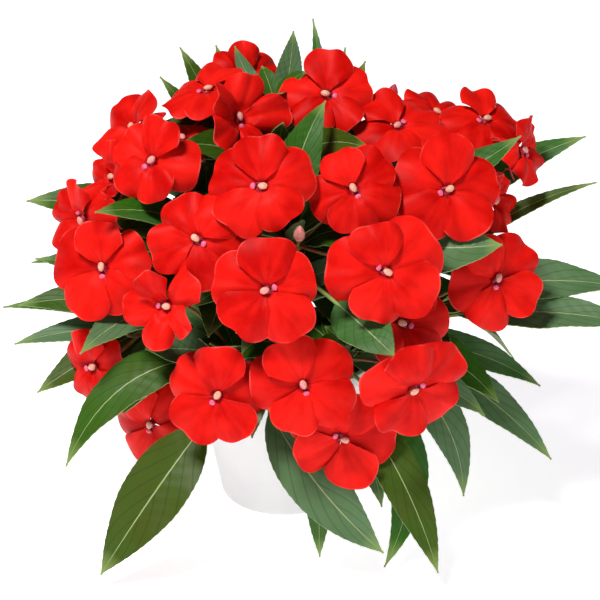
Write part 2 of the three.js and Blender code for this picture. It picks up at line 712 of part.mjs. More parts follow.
const placed = [];
const heads = [];

// The pushes, stems and root heights that a bloom may take, in the order they are tried
function headOptions(point) {
  const near = nearestStems(point).slice(0, STEMS_TRIED);
  const roots = near.flatMap((stem) => ROOT_SHARES.map((share) => ({ stem, share })));
  return PUSHES.flatMap((push) => roots.map((root) => ({ push, ...root })));
}

// How often a bloom, made a little fatter, would cross what is placed already
function headHits(head, { push, stem, share }, makePieces) {
  const loose = makePieces(head, stem, share, push, CLEAR);
  const tubes = stems.map((other) => other.tube);
  const others = tubes.filter((tube) => tube !== stem.tube);
  return crossings(loose.pieces, [...placed, ...tubes], MOST_HITS)
    + crossings([loose.pedicel], [...placed, ...others], MOST_HITS);
}

function placeHead(name, number, values, makePieces) {
  const head = { name, number, values, pieces: null };
  const point = new THREE.Vector3(values[0], values[1], values[2]);
  let best = null;
  let fewest = Infinity;
  for (const option of headOptions(point)) {
    const hits = headHits(head, option, makePieces);
    if (hits < fewest) {
      best = option;
      fewest = hits;
    }
    if (fewest === 0) {
      break;
    }
  }
  const made = makePieces(head, best.stem, best.share, best.push, 0);
  head.pieces = made.pedicel === null ? made.pieces : [...made.pieces, made.pedicel];
  best.stem.holes.push(makePieces(head, best.stem, best.share, best.push, FIT).pedicel);
  placed.push(...head.pieces);
  heads.push(head);
}

Object.entries(BLOOMS).forEach(([name, values], k) => placeHead(name, k + 1, values, bloomPieces));
Object.entries(BUDS).forEach(([name, values], k) => placeHead(name, k + 101, values, budPieces));

// Pot, turned from one outline
function potOutline() {
  const slope = (POT_RIM_RADIUS - RIM_STEP - POT_BASE_RADIUS) / POT_HEIGHT;
  const outer = (z) => POT_BASE_RADIUS + slope * z;
  const band = POT_HEIGHT - RIM_BAND;
  return [
    [0, 0],
    [POT_BASE_RADIUS - 1.2, 0],
    [POT_BASE_RADIUS, 1.2],
    [outer(band), band],
    [POT_RIM_RADIUS - 0.6, band + 0.8],
    [POT_RIM_RADIUS, POT_HEIGHT - 1],
    [POT_RIM_RADIUS - 1, POT_HEIGHT],
    [outer(POT_HEIGHT) - POT_WALL + 0.6, POT_HEIGHT],
    [outer(POT_HEIGHT) - POT_WALL, POT_HEIGHT - 1],
    [outer(POT_FLOOR) - POT_WALL, POT_FLOOR],
    [0, POT_FLOOR],
  ];
}

function turned(outline, lifts) {
  const points = [new THREE.Vector3(0, 0, outline[0][1])];
  const rings = outline.slice(1, -1);
  rings.forEach(([radius, z], r) => {
    for (let k = 0; k < POT_SIDES; k += 1) {
      const turn = (2 * Math.PI * k) / POT_SIDES;
      const level = z + (lifts === null ? 0 : lifts(r));
      points.push(new THREE.Vector3(radius * Math.cos(turn), radius * Math.sin(turn), level));
    }
  });
  points.push(new THREE.Vector3(0, 0, outline.at(-1)[1]));
  const faces = [];
  for (let k = 0; k < POT_SIDES; k += 1) {
    const next = (k + 1) % POT_SIDES;
    faces.push([0, 1 + next, 1 + k]);
    for (let r = 0; r + 1 < rings.length; r += 1) {
      const a = 1 + r * POT_SIDES + k;
      const b = 1 + r * POT_SIDES + next;
      faces.push([a, b, b + POT_SIDES], [a, b + POT_SIDES, a + POT_SIDES]);
    }
    const last = 1 + (rings.length - 1) * POT_SIDES;
    faces.push([last + k, last + next, points.length - 1]);
  }
  return makeSolid(points, faces);
}

const pot = turned(potOutline(), null);

// Potting soil: fills the pot with a small gap and has a slightly uneven top
function soilSolid() {
  const slope = (POT_RIM_RADIUS - RIM_STEP - POT_BASE_RADIUS) / POT_HEIGHT;
  const inner = (z) => POT_BASE_RADIUS + slope * z - POT_WALL - FIT - 0.1;
  const random = seeded(5);
  const low = POT_FLOOR + FIT;
  const outline = [[0, low], [inner(low), low], [inner(SOIL_TOP), SOIL_TOP]];
  SOIL_RINGS.slice(1).forEach((radius) => outline.push([radius, SOIL_TOP]));
  outline.push([0, SOIL_TOP + 1]);
  return turned(outline, (r) => (r < 2 ? 0 : 2.4 * (random() - 0.4)));
}

let soil = soilSolid().body;
for (const stem of stems) {
  soil = soil.subtract(stem.socket.body);
}
placed.push(pot);

// Fill leaves by rule: turned from the stem's own turn, a length, a lift
function fillLeaves() {
  const random = seeded(11);
  const list = [];
  for (const [name, share, turns, length, lift, width, face] of FILL) {
    const stem = stems.find((item) => item.name === name);
    const from = curvePoint(stem.curve, share);
    for (const turn of turns) {
      const around = STEMS[stem.name][0] + turn + FILL_STRAY * (random() - 0.5);
      const heading = direction(around, lift + FILL_STRAY * (random() - 0.5));
      const tip = from.clone().addScaledVector(heading, length * (FILL_LEAST + FILL_SPREAD * random()));
      const broad = width * (FILL_LEAST + FILL_SPREAD * random());
      list.push({ stem, tip, share, width: broad, bow: FILL_BOW, sway: 0, face, least: PETIOLE_LEAST });
    }
  }
  return list;
}

function listedLeaves() {
  return stems.flatMap((stem) => LEAVES[stem.name].map((row) => {
    const [x, y, z, share, width, bow, sway, face, least = PETIOLE_LEAST] = row;
    return { stem, tip: new THREE.Vector3(x, y, z), share, width, bow, sway, face, least };
  }));
}

// Bends a leaf a little, the smallest bend first, until it is clear of everything in other nodes
function placeLeaf(leaf) {
  const { stem } = leaf;
  const rest = stems.filter((other) => other !== stem);
  const others = [...placed, ...rest.flatMap((other) => [other.tube, ...other.leaves]), ...stem.leaves];
  const foot = curvePoint(stem.curve, leaf.share).setZ(0);
  const heading = new THREE.Vector3(leaf.tip.x, leaf.tip.y, 0).sub(foot).normalize();
  const sideways = new THREE.Vector3(-heading.y, heading.x, 0);
  for (const [swing, lift] of shifts(LEAF_STEP, LEAF_MOST)) {
    const tip = leaf.tip.clone().addScaledVector(sideways, swing);
    tip.z = Math.max(LEAF_LOWEST, tip.z + lift);
    for (const [bend, slide] of LEAF_BENDS) {
      const root = rootOn(stem, leaf.share + slide, tip, PETIOLE_SUNK);
      const loose = leafSolid(root, tip, leaf, bend, CLEAR);
      if (crossings([loose], others, 1) === 0) {
        stem.leaves.push(leafSolid(root, tip, leaf, bend, 0));
        return;
      }
    }
  }
}

const leaves = [...listedLeaves(), ...fillLeaves()];
leaves.forEach(placeLeaf);

// Keeps the largest body of a fused solid; a sealed hollow is filled and a loose scrap dropped
function largestBody(body) {
  const { vertProperties, triVerts } = body.getMesh();
  const parent = Array.from({ length: vertProperties.length / 3 }, (_, k) => k);
  const find = (k) => {
    let root = k;
    while (parent[root] !== root) {
      parent[root] = parent[parent[root]];
      root = parent[root];
    }
    return root;
  };
  for (let t = 0; t < triVerts.length; t += 3) {
    parent[find(triVerts[t + 1])] = find(triVerts[t]);
    parent[find(triVerts[t + 2])] = find(triVerts[t]);
  }
  const point = (k) => new THREE.Vector3().fromArray(vertProperties, 3 * k);
  const volumes = new Map();
  for (let t = 0; t < triVerts.length; t += 3) {
    const [a, b, c] = [0, 1, 2].map((k) => point(triVerts[t + k]));
    const key = find(triVerts[t]);
    volumes.set(key, (volumes.get(key) ?? 0) + a.dot(b.cross(c)) / 6);
  }
  const best = [...volumes.entries()].sort((a, b) => b[1] - a[1])[0][0];
  const kept = [];
  for (let t = 0; t < triVerts.length; t += 3) {
    if (find(triVerts[t]) === best) {
      kept.push(triVerts[t], triVerts[t + 1], triVerts[t + 2]);
    }
  }
  const geometry = new THREE.BufferGeometry();
  const used = [...new Set(kept)];
  const index = new Map(used.map((k, n) => [k, n]));
  const positions = used.flatMap((k) => point(k).toArray());
  geometry.setAttribute("position", new THREE.Float32BufferAttribute(positions, 3));
  geometry.setIndex(kept.map((k) => index.get(k)));
  return geometry;
}

function fuse(pieces) {
  return pieces.slice(1).reduce((body, piece) => body.add(piece.body), pieces[0].body);
}

const group = new THREE.Group();
group.name = "potted_impatiens";

function addNode(name, body, color, roughness) {
  const mesh = new THREE.Mesh(largestBody(body), new THREE.MeshStandardMaterial({ color, roughness }));
  mesh.name = name;
  group.add(mesh);
}

addNode("pot", pot.body, "#f1f0ee", 0.35);
addNode("potting_soil", soil, "#3a2a1f", 0.95);
for (const stem of stems) {
  let body = fuse([stem.tube, ...stem.leaves]);
  for (const hole of stem.holes) {
    body = body.subtract(hole.body);
  }
  addNode(stem.name, body, "#3f7d33", 0.5);
}
for (const head of heads) {
  addNode(head.name, fuse(head.pieces), head.name.startsWith("bud") ? "#d8404a" : "#e3170f", 0.6);
}

export default group;
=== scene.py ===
# %% [markdown]
# # A potted New Guinea impatiens in bloom
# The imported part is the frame: a pot, its soil, thirteen leafy stems, thirty-seven blooms and four
# buds, each a plain closed solid at its true place. Everything below is dressed onto that frame, in
# metres, with +Z up and the front toward -Y. Sizes are written in millimetres, as a grower would
# give them, and turned to metres where a mesh takes its points.

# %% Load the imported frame
from functools import partial
from math import cos, hypot, pi, radians, sin

import bpy
import numpy as np
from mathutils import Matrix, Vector
from mathutils.kdtree import KDTree


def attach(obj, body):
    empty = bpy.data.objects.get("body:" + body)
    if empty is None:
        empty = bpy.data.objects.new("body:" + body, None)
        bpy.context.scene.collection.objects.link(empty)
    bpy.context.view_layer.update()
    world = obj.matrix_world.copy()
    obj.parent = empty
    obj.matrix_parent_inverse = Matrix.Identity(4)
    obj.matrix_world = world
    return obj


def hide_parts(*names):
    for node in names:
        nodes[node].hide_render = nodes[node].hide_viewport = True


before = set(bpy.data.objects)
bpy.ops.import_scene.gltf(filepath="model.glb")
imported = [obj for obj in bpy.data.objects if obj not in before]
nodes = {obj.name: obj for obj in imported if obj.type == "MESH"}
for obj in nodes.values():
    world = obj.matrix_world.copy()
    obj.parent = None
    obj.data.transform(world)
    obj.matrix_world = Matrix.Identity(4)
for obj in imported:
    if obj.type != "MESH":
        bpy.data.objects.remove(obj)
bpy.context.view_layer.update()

MM = 0.001

# %% [markdown]
# ## The camera
# The photograph looks down at the plant by about 26 degrees through a long lens, from a metre and
# a half away. The camera is settled first, because every later look at the plant is through it.

# %% The camera
CAMERA_TARGET = Vector((10 * MM, 0, 132 * MM))
CAMERA_ELEVATION = radians(26)
CAMERA_DISTANCE = 1.5
SENSOR = 36.0
PIXEL_AT_TARGET = 0.62 * MM
FRAME_PIXELS = 600


def new_object(name, data):
    thing = bpy.data.objects.new(name, data)
    bpy.context.scene.collection.objects.link(thing)
    return thing


view_direction = Vector((0, cos(CAMERA_ELEVATION), -sin(CAMERA_ELEVATION)))
camera_data = bpy.data.cameras.new("photo_camera")
camera_data.sensor_width = SENSOR
camera_data.lens = SENSOR * CAMERA_DISTANCE / (FRAME_PIXELS * PIXEL_AT_TARGET)
camera = new_object("photo_camera", camera_data)
camera.location = CAMERA_TARGET - CAMERA_DISTANCE * view_direction
camera.rotation_euler = view_direction.to_track_quat("-Z", "Y").to_euler()
bpy.context.scene.camera = camera
print("camera lens:", round(camera_data.lens, 1), "mm at", [round(v, 3) for v in camera.location])

# %% [markdown]
# ## Small helpers for materials
# A colour is written as its sRGB hex value, as it would be picked from a photograph, and turned to
# linear light here. One function adds any node with its settings, values and links.

# %% Colours and nodes
A, B, MIXED = 6, 7, 2  # the colour sockets of a Mix node: two in and one out


def colour(hex_value):
    channels = [int(hex_value[k:k + 2], 16) / 255 for k in (1, 3, 5)]
    linear = [c / 12.92 if c <= 0.04045 else ((c + 0.055) / 1.055) ** 2.4 for c in channels]
    return (*linear, 1.0)


def connect(node, values):
    for name, value in values.items():
        if isinstance(value, bpy.types.Node):
            value = value.outputs[0]
        if isinstance(value, bpy.types.NodeSocket):
            node.id_data.links.new(value, node.inputs[name])
        else:
            node.inputs[name].default_value = value


def add_node(tree, kind, values=None, **settings):
    node = tree.nodes.new("ShaderNode" + kind)
    for name, value in settings.items():
        setattr(node, name, value)
    connect(node, values or {})
    return node


def new_material(name, shader_values):
    material = bpy.data.materials.new(name)
    material.use_nodes = True
    shader = material.node_tree.nodes["Principled BSDF"]
    connect(shader, shader_values)
    return material, shader, partial(add_node, material.node_tree)


print("mid grey in linear light:", round(colour("#808080")[0], 3))

# %% [markdown]
# ## Petal, leaf and other finishes
# The petals are thin living tissue: satin, not glossy, a saturated orange-red that deepens to crimson
# round the eye, with a paler hairline where the edge lets light through and a dull rose underside.
# The petal's own UV map runs across it (x) and from hub to rim (y), so colour and the fine radiating
# veins follow each petal however it bends. The red is mixed in soft random patches from a lit red and a
# shaded red, which is painted light and shade. No two petals are the same red: each carries a tone number
# of its own, which shifts its colour, where its painted light and shade falls, and its streaks.

# %% The petal finishes
PETAL_VEINS = 26
PETAL_MOTTLE_MM = 14
STREAK_SCALE = (5, 1.2, 40)
THROAT_FADE = (0.14, 0.03)
RIM_FADE = (0.965, 1.0)


def sheet_sockets(add):
    place = add("SeparateXYZ", {"Vector": add("UVMap", uv_map="UVMap")})
    spot = add("TexCoord").outputs["Object"]
    tone = add("Attribute", attribute_name="tone").outputs["Fac"]
    return place.outputs["X"], place.outputs["Y"], spot, tone


def petal_finish(name, painted_lit_red, painted_shade_red, throat, rim, sheen):
    material, shader, add = new_material(name, {
        "Roughness": 0.48, "Specular IOR Level": 0.12, "IOR": 1.4,
        "Sheen Weight": sheen, "Sheen Roughness": 0.45, "Sheen Tint": colour("#ff9a90"),
        "Subsurface Weight": 0.1, "Subsurface Radius": (1.0, 0.18, 0.1), "Subsurface Scale": 1.2 * MM,
    })
    across, along, spot, tone = sheet_sockets(add)
    mottle = add("TexNoise", {"Vector": spot, "Scale": 1 / (PETAL_MOTTLE_MM * MM), "Detail": 3.0})
    streak_place = add("CombineXYZ", {"X": across, "Y": along, "Z": tone})
    stretched = add("Mapping", {"Vector": streak_place, "Scale": STREAK_SCALE})
    streak = add("TexNoise", {"Vector": stretched, "Scale": 1.0, "Detail": 2.0})
    clouded = add("Math", {0: mottle, 1: 0.9, 2: streak}, operation="MULTIPLY_ADD")
    toned = add("Math", {0: tone, 1: 0.4, 2: clouded}, operation="MULTIPLY_ADD")
    # painted light and shade: soft random patches pick between the lit red and the shaded red
    patch = add("MapRange", {"Value": toned, "From Min": 0.8, "From Max": 1.5})
    body = add("Mix", {"Factor": patch, A: colour(painted_shade_red), B: colour(painted_lit_red)}, data_type="RGBA")
    near_hub = add("MapRange", {"Value": along, "From Min": THROAT_FADE[0], "From Max": THROAT_FADE[1]},
                   interpolation_type="SMOOTHSTEP")
    flushed = add("Mix", {"Factor": near_hub, A: body.outputs[MIXED], B: colour(throat)}, data_type="RGBA")
    at_rim = add("MapRange", {"Value": along, "From Min": RIM_FADE[0], "From Max": RIM_FADE[1]})
    in_places = add("MapRange", {"Value": streak, "From Min": 0.45, "From Max": 0.65})
    pale = add("Math", {0: at_rim, 1: in_places}, operation="MULTIPLY")
    edged = add("Mix", {"Factor": pale, A: flushed.outputs[MIXED], B: colour(rim)}, data_type="RGBA")
    fan = add("Math", {0: across, 1: 2 * pi * PETAL_VEINS}, operation="MULTIPLY")
    vein = add("Math", {0: fan}, operation="SINE")
    grain = add("TexNoise", {"Vector": spot, "Scale": 1 / (0.7 * MM), "Detail": 2.0})
    relief = add("Math", {0: vein, 1: 0.35, 2: grain}, operation="MULTIPLY_ADD")
    bump = add("Bump", {"Height": relief, "Strength": 0.25, "Distance": 0.12 * MM})
    connect(shader, {"Base Color": edged.outputs[MIXED], "Normal": bump})
    return material


# each finish gives a lit red and a shaded red for the painted light and shade, then the throat and rim colours
petal_face = petal_finish("petal_satin_red", "#f61c12", "#c00200", "#940212", "#f05a50", 0.05)
petal_back = petal_finish("petal_rose_underside", "#c8242c", "#a8182a", "#8e1430", "#d84850", 0.1)
petal_edge = petal_finish("petal_cut_edge", "#e83c36", "#d82c2a", "#a81430", "#ee5a54", 0.02)
print("petal finishes:", petal_face.name, petal_back.name, petal_edge.name)

# %% [markdown]
# The leaves are leathery and a little glossy, dark green with a pale midrib and about thirteen pairs
# of side veins that curve forward to the margin. Old leaves are olive, young ones a fresher green, and
# a tone number on each leaf tells which. The highest tones turn grey-green, a leaf colour lightened as
# painted sheen of the bright surround. In the leaf's UV map y runs from stalk to tip and x across,
# so one formula draws the side veins: they lie where a count that grows along the leaf, and falls
# off toward the margin, comes to a whole number. Along them the green is darkened as painted shade in
# the grooves.

# %% The leaf finishes
VEIN_PAIRS = 13
VEIN_SWEEP = 4.6
SIDE_VEIN_SHARE = 0.34
MIDRIB_FADE = (0.016, 0.006)
TIP_FROM = 0.86


def leaf_finish(name, greens_and_sheen, groove_shade, vein, tip, roughness, sheen):
    material, shader, add = new_material(name, {
        "Roughness": roughness, "Specular IOR Level": 0.25, "IOR": 1.45,
        "Sheen Weight": sheen, "Sheen Roughness": 0.35, "Sheen Tint": colour("#d8e8e0"),
    })
    across, along, spot, tone = sheet_sockets(add)
    centred = add("Math", {0: across, 1: 0.5}, operation="SUBTRACT")
    aside = add("Math", {0: centred}, operation="ABSOLUTE")
    swept = add("Math", {0: aside, 1: -2 * VEIN_SWEEP}, operation="MULTIPLY")
    count = add("Math", {0: along, 1: VEIN_PAIRS, 2: swept}, operation="MULTIPLY_ADD")
    cycle = add("Math", {0: count, 1: 1.0}, operation="PINGPONG")
    side_vein = add("MapRange", {"Value": cycle, "From Min": 0.24, "From Max": 0.0},
                    interpolation_type="SMOOTHSTEP")
    midrib = add("MapRange", {"Value": aside, "From Min": MIDRIB_FADE[0], "From Max": MIDRIB_FADE[1]},
                 interpolation_type="SMOOTHSTEP")
    faint_groove_shade = add("Math", {0: side_vein, 1: SIDE_VEIN_SHARE}, operation="MULTIPLY")
    patches = add("TexNoise", {"Vector": spot, "Scale": 1 / (28 * MM), "Detail": 3.0})
    # the tone picks olive for old leaves, fresh green for young ones, and at its top a grey-green lightened as
    # painted sheen
    age_and_sheen = add("Math", {0: patches, 1: 0.5, 2: tone}, operation="MULTIPLY_ADD")
    blade = add("ValToRGB", {"Fac": age_and_sheen})
    blade.color_ramp.elements.new(0.5)
    for stop, (where, green) in zip(blade.color_ramp.elements, greens_and_sheen):
        stop.position = where
        stop.color = colour(green)
    near_tip = add("MapRange", {"Value": along, "From Min": TIP_FROM, "From Max": 1.0})
    tipped = add("Mix", {"Factor": near_tip, A: blade, B: colour(tip)}, data_type="RGBA")
    # the side veins are darkened toward the groove colour as painted shade in the grooves
    groove_shaded = add("Mix", {"Factor": faint_groove_shade, A: tipped.outputs[MIXED], B: colour(groove_shade)}, data_type="RGBA")
    veined = add("Mix", {"Factor": midrib, A: groove_shaded.outputs[MIXED], B: colour(vein)}, data_type="RGBA")
    grain = add("TexNoise", {"Vector": spot, "Scale": 1 / (0.8 * MM), "Detail": 3.0})
    relief = add("Math", {0: side_vein, 1: -1.2, 2: grain}, operation="MULTIPLY_ADD")
    bump = add("Bump", {"Height": relief, "Strength": 0.35, "Distance": 0.2 * MM})
    connect(shader, {"Base Color": veined.outputs[MIXED], "Normal": bump})
    return material


# in each finish the grey-green last stop is lightened as painted sheen, and the colour after the stops is the
# painted shade of the vein grooves
leaf_face = leaf_finish("leaf_leathery_green", [(0.3, "#445412"), (0.75, "#2e640e"), (1.0, "#5a7a50")],
                        "#1c300e", "#a8b47c", "#8ca658", 0.48, 0.05)
leaf_back = leaf_finish("leaf_matt_underside", [(0.3, "#667446"), (0.75, "#587844"), (1.0, "#6c8858")],
                        "#466030", "#9cac74", "#8ca05c", 0.6, 0.1)
print("leaf finishes:", leaf_face.name, leaf_back.name)

# %% [markdown]
# Stems and flower stalks are fleshy and a little translucent, green flushed with red. The column in
# each bloom's eye is cream with a pink flush. The pot is injection-moulded polypropylene, white and
# half glossy, and the soil is dark peat, matt and crumbly.

# %% The other finishes
def mottled(name, first, second, patch_mm, roughness, relief_mm, sheen=0.0, subsurface=0.1):
    material, shader, add = new_material(name, {
        "Roughness": roughness, "Sheen Weight": sheen, "Subsurface Weight": subsurface,
        "Subsurface Scale": 1.5 * MM,
    })
    spot = add("TexCoord").outputs["Object"]
    patches = add("TexNoise", {"Vector": spot, "Scale": 1 / (patch_mm * MM), "Detail": 4.0})
    tone = add("MapRange", {"Value": patches, "From Min": 0.35, "From Max": 0.65})
    mixed = add("Mix", {"Factor": tone, A: colour(first), B: colour(second)}, data_type="RGBA")
    bump = add("Bump", {"Height": patches, "Strength": 0.6, "Distance": relief_mm * MM})
    connect(shader, {"Base Color": mixed.outputs[MIXED], "Normal": bump})
    return material


stem_skin = mottled("stem_fleshy_green", "#5e7a30", "#7c5a34", 10, 0.4, 0.15)
stalk_skin = mottled("flower_stalk_red_green", "#8a7a3c", "#a8442c", 6, 0.4, 0.1)
petiole_skin = mottled("leaf_stalk_pale_green", "#8aa456", "#a0a860", 7, 0.4, 0.1)
throat_skin = mottled("throat_crimson", "#8c0618", "#c01434", 1.6, 0.5, 0.1)
column_skin = mottled("column_cream_peach", "#ecbc9e", "#e69c84", 1.5, 0.5, 0.05, subsurface=0.2)
spur_skin = mottled("spur_rose_red", "#c8202c", "#a8304a", 4, 0.45, 0.05)
pot_plastic = mottled("pot_moulded_polypropylene", "#f6f6f5", "#f1f1f2", 30, 0.32, 0.03, subsurface=0)
peat = mottled("soil_crumbly_peat", "#2b1c12", "#4a3526", 2.2, 0.95, 1.0, subsurface=0)
print("finishes in all:", len(bpy.data.materials))

# %% [markdown]
# ## The plant's own plan
# The solids follow a plan: where each stem stands, where each leaf tip ends, and where each bloom
# faces. The finer pieces follow the same plan, so it is repeated here, with the formulas that turn
# it into curves. The source also bent some leaves and slid some blooms clear of their neighbours;
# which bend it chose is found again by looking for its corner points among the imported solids.

# %% Stems, leaves, blooms and buds of the plan
# Stem: turn of the foot and tip from the front, how far out the foot stands, tip radius, height
STEMS = {
    "stem_centre": [200, 4, 32, 254],
    "stem_inner_1": [0, 14, 52, 196],
    "stem_inner_2": [72, 14, 54, 204],
    "stem_inner_3": [144, 14, 52, 206],
    "stem_inner_4": [216, 14, 52, 206],
    "stem_inner_5": [288, 14, 54, 204],
    "stem_outer_1": [-25, 30, 80, 132],
    "stem_outer_2": [25, 30, 80, 132],
    "stem_outer_3": [75, 30, 82, 138],
    "stem_outer_4": [128, 30, 82, 140],
    "stem_outer_5": [180, 30, 82, 140],
    "stem_outer_6": [232, 30, 82, 140],
    "stem_outer_7": [285, 30, 82, 138],
}

# Leaf: tip across, back, up; share of the stem's height, width, bow, sway, turn to the front,
# and for one the share of its length that is stalk
LEAVES = {
    "stem_centre": [[6, 48, 291, 0.86, 17, 4, 0, 1], [-2, 56, 279, 0.97, 11, 4, 0, 1],
        [-30, 54, 279, 0.96, 11, 4, 0, 1], [52, -42, 250, 0.64, 20, 16, 0, 0.7],
        [-62, -26, 246, 0.74, 28, 14, 0, 0.6], [0, -30, 262, 0.86, 13, 4, 0, 1]],
    "stem_inner_1": [[25, -18, 271, 0.95, 26, 6, 0, 1], [64, -127, 163, 0.8, 30, 10, 0, 0.7, 0.45],
        [24, -88, 200, 0.7, 16, 4, 0, 0.8], [-24, -104, 147, 0.6, 16, 8, 0, 0.8]],
    "stem_inner_2": [[141, -16, 248, 0.95, 22, 4, 0, 0.6], [128, -66, 200, 0.85, 40, 0, -16, 0.6, 0.3],
        [120, 62, 225, 0.84, 30, 12, 0, 0]],
    "stem_inner_3": [[38, 60, 276, 0.9, 14, 6, 0, 1], [50, 44, 273, 0.96, 22, 4, 0, 1],
        [18, 70, 291, 0.86, 12, 4, 0, 1], [97, 78, 273, 0.96, 11, 2, 0, 1],
        [66, 132, 206, 0.76, 36, 14, 0, 0]],
    "stem_inner_4": [[-64, 60, 276, 0.9, 18, 4, 0, 1], [-76, 46, 262, 0.84, 18, 6, 0, 1],
        [-46, 66, 279, 0.94, 18, 4, 0, 1], [-40, 140, 206, 0.76, 36, 14, 0, 0]],
    "stem_inner_5": [[-157, -8, 203, 0.8, 32, 12, 0, 0.6], [-106, -66, 219, 0.86, 24, 10, 0, 0.5],
        [-120, 84, 190, 0.72, 34, 12, 0, 0]],
    "stem_outer_1": [[60, -112, 18, 0.66, 35, 16, -20, 0.7], [-109, -122, 9, 0.58, 38, 16, 12, 0.7],
        [-127, -105, 66, 0.86, 27, 12, 0, 0.6], [8, -104, 148, 0.9, 34, 8, 0, 0.5]],
    "stem_outer_2": [[92, -128, 14, 0.6, 26, 14, 0, 0.7], [22, -94, 4, 0.6, 20, 24, 0, 0.4],
        [61, -104, 3, 0.8, 25, 14, 24, 0.6], [63, -92, 40, 0.56, 22, 10, 0, 0.5],
        [121, -72, 90, 0.86, 26, 12, 0, 0.7]],
    "stem_outer_3": [[208, -20, 150, 0.9, 30, 12, 0, 0.5], [212, -50, 140, 0.84, 28, 10, 0, 0.4],
        [191, 10, 207, 0.85, 11, 8, 14, 0.5], [175, -10, 120, 0.8, 20, 12, 0, 0.4],
        [131, -52, 88, 0.6, 25, 12, 0, 0.7], [160, -14, 79, 0.64, 22, 12, 0, 0.6],
        [165, -50, 52, 0.56, 24, 12, 0, 0.6], [116, -24, 10, 0.46, 26, 14, 0, 0.7]],
    "stem_outer_4": [[186, 35, 227, 0.94, 22, 10, 0, 0.6], [165, 85, 122, 0.88, 40, 14, 0, 0],
        [120, 130, 120, 0.82, 42, 14, 0, 0], [150, 60, 60, 0.62, 40, 16, 0, 0],
        [95, 120, 30, 0.54, 42, 16, 0, 0]],
    "stem_outer_5": [[48, 178, 110, 0.9, 42, 14, 0, 0], [-40, 180, 112, 0.84, 40, 14, 0, 0],
        [50, 150, 45, 0.62, 42, 16, 0, 0], [-20, 155, 30, 0.54, 42, 16, 0, 0]],
    "stem_outer_6": [[-120, 125, 140, 0.9, 42, 14, 0, 0], [-165, 80, 120, 0.84, 40, 14, 0, 0],
        [-90, 125, 30, 0.6, 42, 16, 0, 0], [-140, 75, 40, 0.54, 40, 16, 0, 0]],
    "stem_outer_7": [[-118, -96, 159, 0.92, 26, 14, 0, 0.5], [-146, -56, 112, 0.86, 26, 12, 0, 0.5],
        [-162, -26, 136, 0.8, 25, 10, 0, 0.5], [-174, -2, 128, 0.74, 14, 8, 0, 0.5],
        [-152, -6, 163, 0.94, 17, 8, 0, 0.5], [-165, -28, 128, 0.66, 20, 10, 0, 0.5]],
}

# Fill leaves: share of the stem's height, turns from the stem's own, length, lift, width, face
FILL = {
    "stem_centre": [[0.84, [-60, 0, 60, 150], 70, 8, 30, 0.4],
        [0.66, [-170, -98, -26, 46, 118], 74, 14, 34, 0.3], [0.46, [-190, -150], 70, 6, 36, 0.4]],
    "stem_inner_1": [[0.88, [-70, 70], 60, 6, 28, 0.4], [0.66, [-56, -6, 48], 66, 4, 34, 0.4],
        [0.42, [-64, -18, 34], 58, 0, 36, 0.5]],
    "stem_inner_2": [[0.66, [-50, 6, 54], 72, 4, 34, 0.3], [0.44, [-60, -20, 20], 64, 0, 34, 0.4]],
    "stem_inner_3": [[0.66, [-44, 28], 74, 6, 34, 0]],
    "stem_inner_4": [[0.66, [-28, 44], 74, 6, 34, 0]],
    "stem_inner_5": [[0.66, [-54, -6, 50], 72, 4, 34, 0.3], [0.46, [30, 60, 90], 64, 0, 36, 0.5],
        [0.86, [80, -80], 56, 6, 28, 0.4]],
    "stem_outer_1": [[0.84, [-120, -54, -24, 8, 90], 56, 12, 30, 0.5]],
    "stem_outer_2": [[0.84, [-80, -30, 0, 60, 130], 54, 12, 28, 0.5]],
    "stem_outer_3": [[0.76, [-50, 40], 84, 0, 36, 0.3]],
    "stem_outer_4": [[0.76, [-36, 30], 92, -6, 38, 0]],
    "stem_outer_5": [[0.76, [-34, 36], 92, -6, 38, 0]],
    "stem_outer_6": [[0.76, [-30, 36], 92, -6, 38, 0]],
    "stem_outer_7": [[0.76, [30], 84, 0, 36, 0.2], [0.84, [-60, -20, 20], 56, 6, 28, 0.5]],
}

